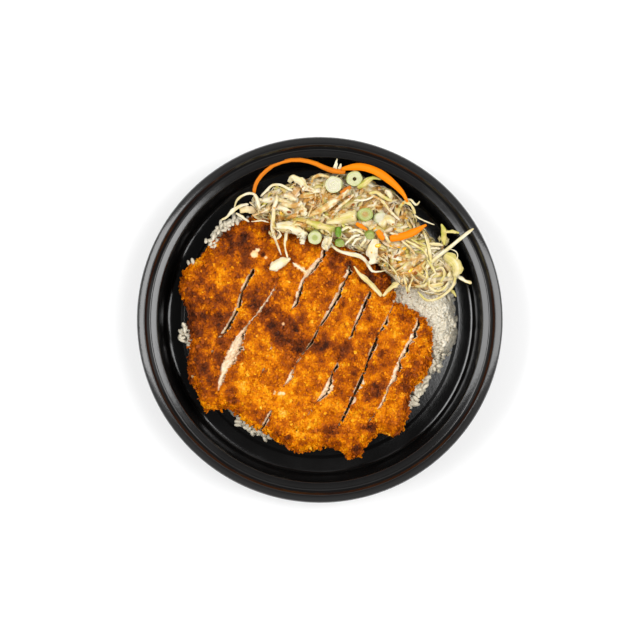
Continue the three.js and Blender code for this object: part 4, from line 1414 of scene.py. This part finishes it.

# %% [markdown]
# The shreds that are seen best, on top of the heap and at its edges, are listed one by one. Each has its
# widths from start to end, a tone from white rib to green leaf, how much dressing stains it, and
# the places that it passes through. The food below pushes it up wherever it would sink in.

# %% Listed shreds
LAID = [  # (widths), tone, stain, [(x, y, z), and so on] in millimetres
    # the left end, lying over the edge of the rice
    ((0.7, 2.3, 1.7), 0.1, 0.1, [(-63, 63, 27), (-59, 65, 28.5), (-55, 69, 30.5), (-50, 72, 32),
     (-45, 73, 33)]),
    ((1.1, 1.4, 2.2), 0.1, 0.1, [(-54, 71, 31), (-52.5, 75, 33.5), (-49, 78, 35.5), (-44, 79.5, 36.5),
     (-40, 77.5, 36.5), (-38, 70, 34)]),
    ((3.5, 5.3, 3.5), 0.2, 0.4, [(-50.5, 69, 30.5), (-46, 70, 31.5), (-41, 69, 32.5)]),
    ((1.4, 1.7, 1.1), 0.1, 0.1, [(-53, 67.6, 30.5), (-49, 65, 32), (-44.7, 61.8, 34)]),
    ((1.1, 1.6, 1.4), 0.2, 0.7, [(-42.6, 65.5, 34), (-34, 68.7, 36), (-30, 71.3, 37.5)]),
    ((0.7, 0.9, 0.7), 0.05, 0.3, [(-43.2, 61.8, 36.4), (-36.3, 62.4, 36.9), (-32, 61.3, 37.2)]),
    ((1.2, 1.7, 1.6), 0.1, 0.1, [(-37.4, 77.6, 33), (-34, 81, 34.5), (-30, 84.4, 35.5),
     (-25, 85, 36.5), (-17, 81, 38)]),
    ((2.5, 4.8, 3.5), 0.05, 0.0, [(-19.5, 86.5, 36), (-17, 89.2, 38), (-13, 87.6, 38.5),
     (-10, 84.4, 38), (-9.5, 81, 37.5)]),
    ((0.9, 1.3, 1), 0.2, 0.2, [(-10, 85, 38), (-6, 83, 38.8), (-2.7, 81, 39.2)]),
    ((1.4, 2, 1.6), 0.3, 0.9, [(-5.3, 86, 38), (-3.7, 89.7, 39), (0.5, 90.7, 39.5), (4.7, 90, 39.5),
     (7.3, 87, 40)]),
    ((3.5, 2.2, 0.6), 0.1, 0.1, [(8.9, 92.5, 39), (10, 97, 40), (10.7, 101, 41)]),
    ((2.2, 1.9, 1), 0.15, 0.2, [(12, 92.6, 39.5), (12.6, 95.5, 40), (13.2, 98, 40)]),
    # hanging down over the cutlet
    ((2.3, 2.3, 1.7, 1.1), 0.1, 0.15, [(-27, 78.7, 38.5), (-27.5, 74.4, 39.7), (-29, 69.7, 40.2),
     (-29, 63.9, 39.8), (-30, 57.6, 38.8), (-29, 53.4, 37.6), (-27, 48.2, 36.8), (-24.3, 40.8, 36.4)]),
    ((2.3, 1.3, 1), 0.12, 0.1, [(-21, 55.5, 38.2), (-21.6, 51.3, 37.4), (-22, 48, 37),
     (-21.6, 44, 36.6), (-20, 38.2, 36.6)]),
    ((1.4, 6.2, 6.6, 5.3, 1.4), 0.0, 0.0, [(-31.5, 31.6, 36.3), (-28, 33.8, 37.2), (-24, 36, 37.6),
     (-18.5, 38.6, 37.2)]),
    ((0.6, 1.2, 1, 0.7), 0.0, 0.0, [(-17, 36, 36.4), (-13, 33, 36.4), (-8, 29.6, 36.2)]),
    ((3.5, 5.3, 4.8, 3.5), 0.05, 0.05, [(-27.5, 58.7, 39.5), (-20.6, 59, 40.2), (-13, 55.8, 39.7),
     (-8, 52, 38)]),
    ((2.2, 3.5, 2.2), 0.0, 0.0, [(-11.2, 52, 38.8), (-11, 49.7, 38.2), (-11, 47.6, 37.2)]),
    ((0.7, 1.8, 2.6, 2.3, 1.9, 0.7), 0.0, 0.0, [(2.4, 53, 39.4), (6.5, 48.3, 38.8),
     (11.5, 43.4, 38.3), (17.5, 41.7, 38), (24, 40.7, 38), (29, 37.1, 37.6), (31.7, 32.3, 37.2),
     (34.7, 30.2, 37), (42, 31.2, 37.2)]),
    ((4.4, 7.5, 5.3), 0.1, 0.1, [(35, 50.5, 42), (33, 43, 40.5), (34, 35.5, 38.5)]),
    ((0.7, 2.6, 3.5, 2.2), 0.35, 0.15, [(21.4, 33.8, 36.8), (25, 28.9, 36.8), (29.5, 25, 36.8),
     (34, 20.6, 36.6), (38.7, 14.9, 36)]),
    ((1.4, 2.6, 4.4), 0.35, 0.2, [(39.8, 14.9, 36), (44.4, 20, 35.2), (49.6, 23.5, 35)]),
    ((0.9, 1, 0.8), 0.15, 0.4, [(36.9, 39.6, 41), (42, 36.1, 40), (46.7, 31, 38.6),
     (49.6, 26.4, 37.2), (50.1, 23.5, 36)]),
    # the middle of the heap
    ((2.2, 4.4, 4.4, 2.2), 0.3, 1.0, [(-7, 65, 42.2), (2.6, 69.7, 43), (9.4, 74.4, 43.6),
     (16.2, 79.4, 42.8)]),
    ((2.5, 4.4, 3.5), 0.68, 0.1, [(-8.5, 61.8, 40.2), (0, 58.7, 40.8), (10, 57, 40.8)]),
    ((2.2, 7, 7, 4.4), 0.3, 0.15, [(4, 60.8, 42), (14, 63.5, 43.4), (20, 65, 43.4), (23.5, 66.5, 43)]),
    ((3.5, 4.8, 3.5), 0.2, 1.3, [(-12.5, 72, 41), (-10.5, 68.5, 41.6), (-8.5, 65.5, 41.6)]),
    ((0.7, 0.9, 0.7), 0.2, 0.8, [(-3.7, 74.4, 43), (-5.3, 69.7, 43.4), (-7.4, 64.6, 42.8)]),
    ((2.2, 4.4, 3.5), 0.1, 0.6, [(-22.6, 78, 39.5), (-19, 77.5, 40.2), (-15, 75, 40.4)]),
    ((2.2, 3.5, 2.2), 0.2, 0.9, [(-24, 73, 39.6), (-17, 71.5, 40.6), (-11, 73.5, 41)]),
    ((2.2, 4.2, 2.2, 0.7), 0.72, 0.1, [(23.7, 82.6, 40.5), (29, 86.5, 40.3), (33, 89, 39.5),
     (38.7, 88, 38.6)]),
    ((1.7, 2.3, 1.9), 0.5, 0.2, [(30.6, 79.2, 41), (35.8, 79.8, 41), (41, 76.3, 40.4),
     (45.5, 74.6, 39.4)]),
    ((2.2, 3.9, 2.2), 0.0, 0.3, [(41, 81, 38.8), (44, 79, 39), (45, 75, 38.8)]),
    ((1.4, 2.3, 1.9, 1.4), 0.5, 0.2, [(50, 70.6, 38.4), (53.6, 74, 38.6), (57.6, 71.7, 38.2),
     (60, 66.6, 37.6)]),
    ((1.1, 0.9, 0.7), 0.05, 0.0, [(59.3, 66, 37), (64, 63, 37.6), (72, 59.7, 38.6)]),
    ((1, 1.7, 0.6), 0.05, 0.0, [(54.5, 76, 37), (57.6, 75, 38), (60.5, 72.3, 38.4), (62.8, 74.5, 39)]),
    ((4.4, 6.6, 5.3), 0.2, 0.2, [(38, 58.5, 42), (42, 62.5, 42.8), (47, 61, 41.8)]),
    ((1.4, 1.6, 1.1), 0.1, 0.5, [(10, 68.8, 44), (15.7, 73.4, 44), (21.4, 78.6, 42.6)]),
    ((1.4, 2.2, 1.4), 0.2, 1.2, [(10, 75.8, 44.2), (14.5, 78, 44), (19, 82, 42.6)]),
    ((0.9, 1.3, 1), 0.1, 0.3, [(21.4, 74.6, 43.6), (29, 75.2, 43), (34.6, 78, 42)]),
    ((1.2, 1.6, 1.4, 1.2), 0.3, 1.0, [(31.8, 78.6, 42.2), (38.7, 74.6, 42), (42, 70.6, 41.6),
     (45.5, 65.4, 41)]),
    ((1.2, 1.6, 1.2), 0.1, 0.4, [(42, 70.6, 42), (46.7, 65.4, 41.4), (50, 62.5, 40.6)]),
    ((1, 1.7, 1.4), 0.0, 0.0, [(15.7, 47, 40), (20.3, 51.6, 41.4), (25, 53.4, 42)]),
    ((1, 1.6, 1.2), 0.0, 0.0, [(20.3, 46.5, 40), (22.6, 50, 41.2), (26, 51, 42)]),
    ((1.2, 1.9, 1.2), 0.1, 0.0, [(25.5, 46.3, 40.6), (27.8, 49, 41.4), (30, 52.4, 42)]),
    ((1.3, 1.7, 1.3), 0.05, 0.0, [(13.4, 56, 41.4), (18, 58, 42.2), (21.4, 55, 42.2)]),
    ((1.2, 1.7, 1.4), 0.1, 0.1, [(18, 55, 42.6), (23, 56.2, 42.9), (28, 53.4, 42.6)]),
    ((1.4, 2, 1.4), 0.1, 0.3, [(40.4, 54.5, 43), (42, 51, 42.6), (44, 48, 41.8)]),
    ((1.2, 1.6, 1.4, 1), 0.2, 0.6, [(43.8, 54.5, 43), (49, 52.8, 42.4), (52.4, 48.8, 41.4),
     (57, 44.8, 40.4), (60, 40, 39.4)]),
    # the right end
    ((1.1, 1.6, 1.4, 1.1), 0.4, 0.1, [(53.6, 50, 41), (59.3, 47, 40.6), (65, 43.6, 39.8),
     (68, 39, 38.8)]),
    ((1, 1.4, 1), 0.4, 0.2, [(57, 50.7, 41), (61.6, 48.2, 40.8), (66.8, 46, 40)]),
    ((1.4, 2.3, 2.2, 1.7), 0.35, 0.1, [(65, 56, 38), (67.4, 50, 39.4), (69, 42.5, 40),
     (70.2, 35.6, 38.6)]),
    ((1.7, 2.2, 1.7), 0.2, 0.3, [(68.5, 47.8, 39.4), (73, 47.4, 39.6), (77.5, 47, 39.8)]),
    ((1, 1.4, 1), 0.1, 0.2, [(68.6, 44.6, 39.6), (72, 45, 39.9), (75.5, 44.6, 40)]),
    ((0.9, 3.5, 3.5, 2.2), 0.7, 0.1, [(76, 60, 42.8), (77.6, 56, 42.4), (77.6, 52, 41.8),
     (78.3, 47, 40.8)]),
    ((1.6, 2, 1.4), 0.62, 0.0, [(78.5, 55, 42.6), (83, 55.2, 42.8), (87.2, 54.4, 43)]),
    ((1.9, 2.2, 2.2, 2), 0.05, 0.0, [(66, 32, 36.6), (72, 37.9, 39.4), (77.7, 42.6, 41.6),
     (84.6, 48.2, 43.6), (95.8, 57, 46)]),
    ((0.6, 0.7, 0.6), 0.1, 0.0, [(80.6, 44.8, 40.5), (85.2, 43, 40), (86.5, 40, 39.2),
     (85.2, 36.5, 38.8)]),
    ((5.3, 7.9, 7, 3.5), 0.42, 0.0, [(78, 40.5, 39.4), (83, 37.5, 40), (86, 33, 39), (84.5, 27, 36.8)]),
    ((1.4, 2, 1.9), 0.1, 0.0, [(84, 29.5, 34), (87, 27.5, 35), (91.5, 24.7, 36), (95.5, 22.9, 37)]),
    ((1.4, 1.6, 1.4), 0.35, 0.1, [(86, 31, 38), (85.2, 26, 36.6), (83.6, 21, 35), (79, 16.4, 33.5),
     (73, 12.8, 32), (67, 12.6, 31), (61.8, 18, 31)]),
    ((1.4, 1.7, 1.4), 0.3, 0.1, [(81, 23.5, 36), (77.7, 19.5, 35.4), (72.5, 18.3, 35), (69, 21.2, 35),
     (69.7, 27, 36), (73.7, 30, 37)]),
    ((1, 1.9, 0.7), 0.45, 0.0, [(81, 19.3, 31.5), (84, 17.8, 31), (86.2, 14.6, 30.5)]),
    ((1.2, 1.6, 1.4), 0.4, 0.1, [(72.5, 31.5, 38), (76.5, 32.7, 38.4), (78.3, 28.7, 37.8),
     (76, 23.5, 36.6)]),
    ((1.2, 1.7, 1.2), 0.3, 0.3, [(64, 34.4, 38), (67.4, 28.7, 37.4), (65, 23, 36)]),
    ((1, 1.6, 1.2), 0.35, 0.1, [(67.4, 38, 39), (70.8, 32.7, 38.4), (73, 28.7, 37.6)]),
    ((1.2, 1.6, 0.9), 0.3, 0.8, [(52.4, 28.7, 38), (54, 23, 35.6), (55.3, 17.2, 33)]),
    ((0.9, 1.3, 0.9), 0.2, 0.5, [(58.7, 27, 38), (56.5, 21.2, 35.6), (56, 17.2, 33)]),
]  # fmt: skip
print(len(LAID), "shreds are listed")

# %% Laying the listed shreds
CLEARANCE = 0.35  # between the food and the middle of a shred
CLEARED_STEPS = 15
HIGHEST_PUSH = 8  # a shred that lies deeper than this is meant to lie under the food
SHRED_THICK = 0.5
UP = np.tile([0.0, 0.0, 1.0], (CLEARED_STEPS, 1))


def kept_clear(route, clearance):
    """Lifts a route wherever the food below would poke through it."""
    cleared = resampled(route, CLEARED_STEPS)
    for place in cleared:
        ground = top_at(food, place[0], place[1])[0]
        if ground is not None and ground - place[2] < HIGHEST_PUSH:
            place[2] = max(place[2], ground + clearance)
    return cleared


by_hand = Ribbons()
draw = random.Random(3)
for widths, tone, stain, places in LAID:
    route = kept_clear(places, CLEARANCE)
    twist = (draw.uniform(-0.45, 0.45), draw.uniform(-0.2, 0.2), draw.uniform(-0.45, 0.45))
    fold = draw.choice([-0.12, -0.06, 0.06, 0.14])
    by_hand.add(route, UP, widths, SHRED_THICK, twist, fold, tone, stain, ragged=0.6)
new_piece(by_hand.join("shreds_by_hand"), cabbage)

# %% [markdown]
# ## Carrot and spring onion
# Carrot strips are ribbons too, thicker than cabbage. Each follows the course of its CAD strip.

# %% Carrot
CARROT_CLEARANCE = 0.6
CARROT_TWIST = (0.15, -0.1, 0.2)  # in radians, from start to end
CARROT_FOLD = -0.12
CARROTS = [  # (widths), thickness, tone, places
    ((2.2, 2.4, 2.4, 2.4, 3.4, 3.4), 1.1, 0.55, [(-41.5, 79.5, 35), (-40.5, 85, 36),
     (-36, 91.5, 37.5), (-27.5, 97.8, 39.5), (-15, 100.4, 41), (-4, 98.4, 41.4), (4.7, 94.6, 41),
     (10.5, 93, 40.6), (16, 92.8, 40.4)]),
    ((2, 4.2, 5, 4.6, 3.4, 1.6), 1.2, 1.0, [(13.4, 94.4, 41), (20, 95.6, 41.3), (27, 95.7, 41.4),
     (36, 92.8, 41), (45, 86.5, 40.4), (51.5, 80, 39.8), (55, 74, 39)]),
    ((4, 4.8, 4.2, 1.4), 1.3, 0.95, [(43.8, 50.6, 42.6), (52, 52.4, 42.4), (60, 55.6, 41.8),
     (66.8, 59.6, 41)]),
    ((2, 2.8, 1.2), 1.2, 0.95, [(22.6, 60.3, 42.8), (26, 58.6, 42.9), (29.8, 56.2, 42.8)]),
    ((2, 3, 2), 1.2, 0.4, [(13, 79, 44), (16, 81.2, 43.4), (19.4, 83.4, 42.6)]),
    ((3, 4, 3.4), 1.3, 0.95, [(36, 55.8, 43), (38, 53.2, 42.8), (40.2, 50.4, 42.2)]),
]  # fmt: skip
for number, (widths, thick, tone, places) in enumerate(CARROTS, 1):
    strip = Ribbons()
    route = kept_clear(places, CARROT_CLEARANCE)
    strip.add(route, UP, widths, thick, CARROT_TWIST, CARROT_FOLD, tone, stain=0.0, ragged=0.2)
    new_piece(strip.join(f"carrot_{number}_cut"), carrot_finish, [f"carrot_{number}"])

# %% [markdown]
# A slice of spring onion is a stack of rings. Its section is a row of ridges with a flat foot, spun
# round the slice's own axis. Each slice is then made a little uneven and laid where the CAD slice
# lies, tilted as the shreds beneath it push it up.

# %% The shape of a slice
RIDGES = [1.0, 0.8, 0.6, 0.4, 0.2]  # the edges of the layers, as shares of the radius
SLICE_STEPS = 36


def slice_section(hole):
    """The outline of half a slice: ridges on top, a flat foot, as (radius, height)."""
    section = []
    for share in RIDGES:
        if share <= hole:
            break
        top = 0.5 - 0.04 * (1 - share)
        ridge = [(share, top - 0.06), (share - 0.03, top), (share - 0.13, top - 0.03)]
        section += ridge + [(share - 0.17, top - 0.09)]
    section.append((hole, section[-1][1]))
    return section + [(hole, -0.44), (0.96, -0.5), (1.0, -0.42)]


def spun_slice(hole):
    """A slice one unit wide from the middle to the skin and one unit thick."""
    bm = bmesh.new()
    chain = [bm.verts.new((radius, 0, height)) for radius, height in slice_section(hole)]
    edges = [bm.edges.new(pair) for pair in zip(chain, chain[1:] + chain[:1])]
    upright = {"axis": (0, 0, 1), "angle": FULL_TURN, "steps": SLICE_STEPS}
    bmesh.ops.spin(bm, geom=chain + edges, use_merge=True, **upright)
    bmesh.ops.remove_doubles(bm, verts=bm.verts, dist=1e-4)
    bmesh.ops.dissolve_degenerate(bm, edges=bm.edges, dist=1e-5)
    on_axis = [edge for edge in bm.edges if not edge.link_faces]
    bmesh.ops.delete(bm, geom=on_axis, context="EDGES")
    bmesh.ops.recalc_face_normals(bm, faces=bm.faces)
    return bm


print("a slice has", len(RIDGES), "layers")

# %% Spring onion
ONIONS = [  # middle, width along X and along Y, hole, tilts about X and Y in degrees, tone
    ((9.2, 85, 40), 11.0, 10.4, 0.0, (8, -14), 0.05),
    ((21.3, 89, 39.3), 9.6, 9.8, 0.36, (14, 10), 0.22),
    ((28, 65.3, 42.3), 9.6, 8.4, 0.0, (-12, 6), 0.55),
    ((37, 64, 40.4), 8.4, 7.2, 0.0, (10, 26), 0.0),
    ((-3.1, 52.3, 38.4), 8.2, 8.6, 0.0, (18, 0), 0.2),
    ((12, 56, 40.5), 3.6, 6.2, 0.0, (24, -12), 0.95),
    ((12, 49, 38.8), 6, 4.6, 0.0, (24, 12), 0.7),
    ((31, 54, 41.2), 5.8, 5.0, 0.0, (30, 8), 0.6),
]
GREEN_HEART = 5  # the slice whose middle is the greenest
STAINED_HEART = 3  # the slice with dressing in its middle
SLICE_THICK = 3.2
GREENER = 0.45  # how much greener the one middle is, and how strongly the other is stained
STAINED = 0.7


def onion_slice(number, middle, wide, deep, hole, tilts, tone):
    """Makes one slice a little uneven, sizes it and lays it down tilted."""
    bm = spun_slice(hole)
    rings = np.array([vertex.co.xy.length for vertex in bm.verts])
    for vertex in bm.verts:
        wobble = 1 + 0.16 * noise.noise(vertex.co * 1.3 + Vector((number * 5.0, 0, 0)))
        vertex.co.x *= wobble
        vertex.co.y *= wobble
    size = Matrix.Diagonal((wide / 2 * MM, deep / 2 * MM, SLICE_THICK * MM, 1.0))
    about_x, about_y = (math.radians(tilt) for tilt in tilts)
    tilt = Matrix.Rotation(about_y, 4, "Y") @ Matrix.Rotation(about_x, 4, "X")
    on_foot = Matrix.Translation((0, 0, SLICE_THICK / 2 * MM))
    place = Matrix.Translation(Vector(middle) * MM) @ tilt @ on_foot
    bmesh.ops.transform(bm, matrix=place @ size, verts=bm.verts)
    mesh = mesh_of(bm, f"onion_{number}_slice")
    smooth_all(mesh)
    heart = 1 - smoothstep(0.25, 0.6, rings)
    numbers(mesh, "ring", rings)
    greener = (number == GREEN_HEART) * GREENER * heart
    numbers(mesh, "tone", tone + 0.25 * smoothstep(0.8, 1.0, rings) + greener)
    numbers(mesh, "stain", (number == STAINED_HEART) * STAINED * heart)
    return new_piece(mesh, onion_finish, [f"onion_{number}"])


for number, row in enumerate(ONIONS, 1):
    onion_slice(number, *row)

# %% [markdown]
# ## Dressing
# A few drops and many specks of dressing lie on the slaw. Each is a ball pressed flat onto the
# shred beneath it.

# %% Drops of dressing
DROPS = [  # x, y, width, tone
    (10.8, 71.0, 3.0, 0.3), (18.6, 76.9, 2.4, 0.2), (20.9, 72.3, 2.6, 0.1), (48.4, 71.1, 3.2, 0.1),
    (41, 41.9, 3.2, 0.05), (47.3, 39.6, 3.2, 0.15), (60.5, 29.3, 3.2, 0.1), (-19.4, 67.6, 3.0, 0.05),
    (36.4, 46.5, 4.4, 0.95), (51.3, 36.1, 6.0, 1.0), (57, 31.5, 4.6, 1.0), (45, 46.5, 3.4, 0.9),
    (53, 44.8, 3.0, 0.85), (-24.2, 67.1, 3.0, 0.9), (49.5, 45.5, 2.6, 0.8), (44.5, 42, 2.4, 0.5),
    (55.3, 17.2, 1.6, 0.1), (57.5, 14.2, 1.2, 0.1), (47.5, 57, 2.2, 0.7), (34, 57.5, 3.0, 0.9),
]  # fmt: skip
DROPS_AND_SPECKS = 90
FLATNESS = 0.16  # height as a share of the width
SLAW_PIECES = ("slaw_core", "shreds", "shreds_by_hand", "rice_grains")


def with_specks(draw):
    """The drops, and specks strewn about where the dressing fell."""
    rows = list(DROPS)
    while len(rows) < DROPS_AND_SPECKS:
        x, y, radius = DRESSED[draw.integers(len(DRESSED))]
        away = draw.normal(size=2) * radius * 0.6
        rows.append((x + away[0], y + away[1], draw.uniform(0.6, 2.0), draw.uniform(0.15, 0.9)))
    return rows


def pressed_down(ball, draw, place, normal, wide):
    """A ball pressed flat onto the surface at a place."""
    normal = normal if normal.z > 0 else -normal
    size = np.array([wide, wide * draw.uniform(0.5, 0.9), FLATNESS * wide])
    along = Vector((draw.normal(), draw.normal(), 0.0))
    return ball * size @ turned(along - normal * along.dot(normal), normal) + np.array(place)


bm = bmesh.new()
bmesh.ops.create_icosphere(bm, subdivisions=2, radius=0.5)
ball, faces = shape_of(bm)
draw = np.random.default_rng(9)
slaw_top = surface_of(*[bpy.data.objects[name].data for name in SLAW_PIECES])
copies = []
tones = []
for x, y, wide, tone in with_specks(draw):
    height, normal = top_at(slaw_top, x, y)
    if height is not None:
        copies.append(pressed_down(ball, draw, (x, y, height), normal, wide))
        tones.append(np.full(len(ball), tone))
mesh = laid_out("dressing_drops", np.array(copies), faces)
numbers(mesh, "tone", np.array(tones).ravel())
new_piece(mesh, dressing)
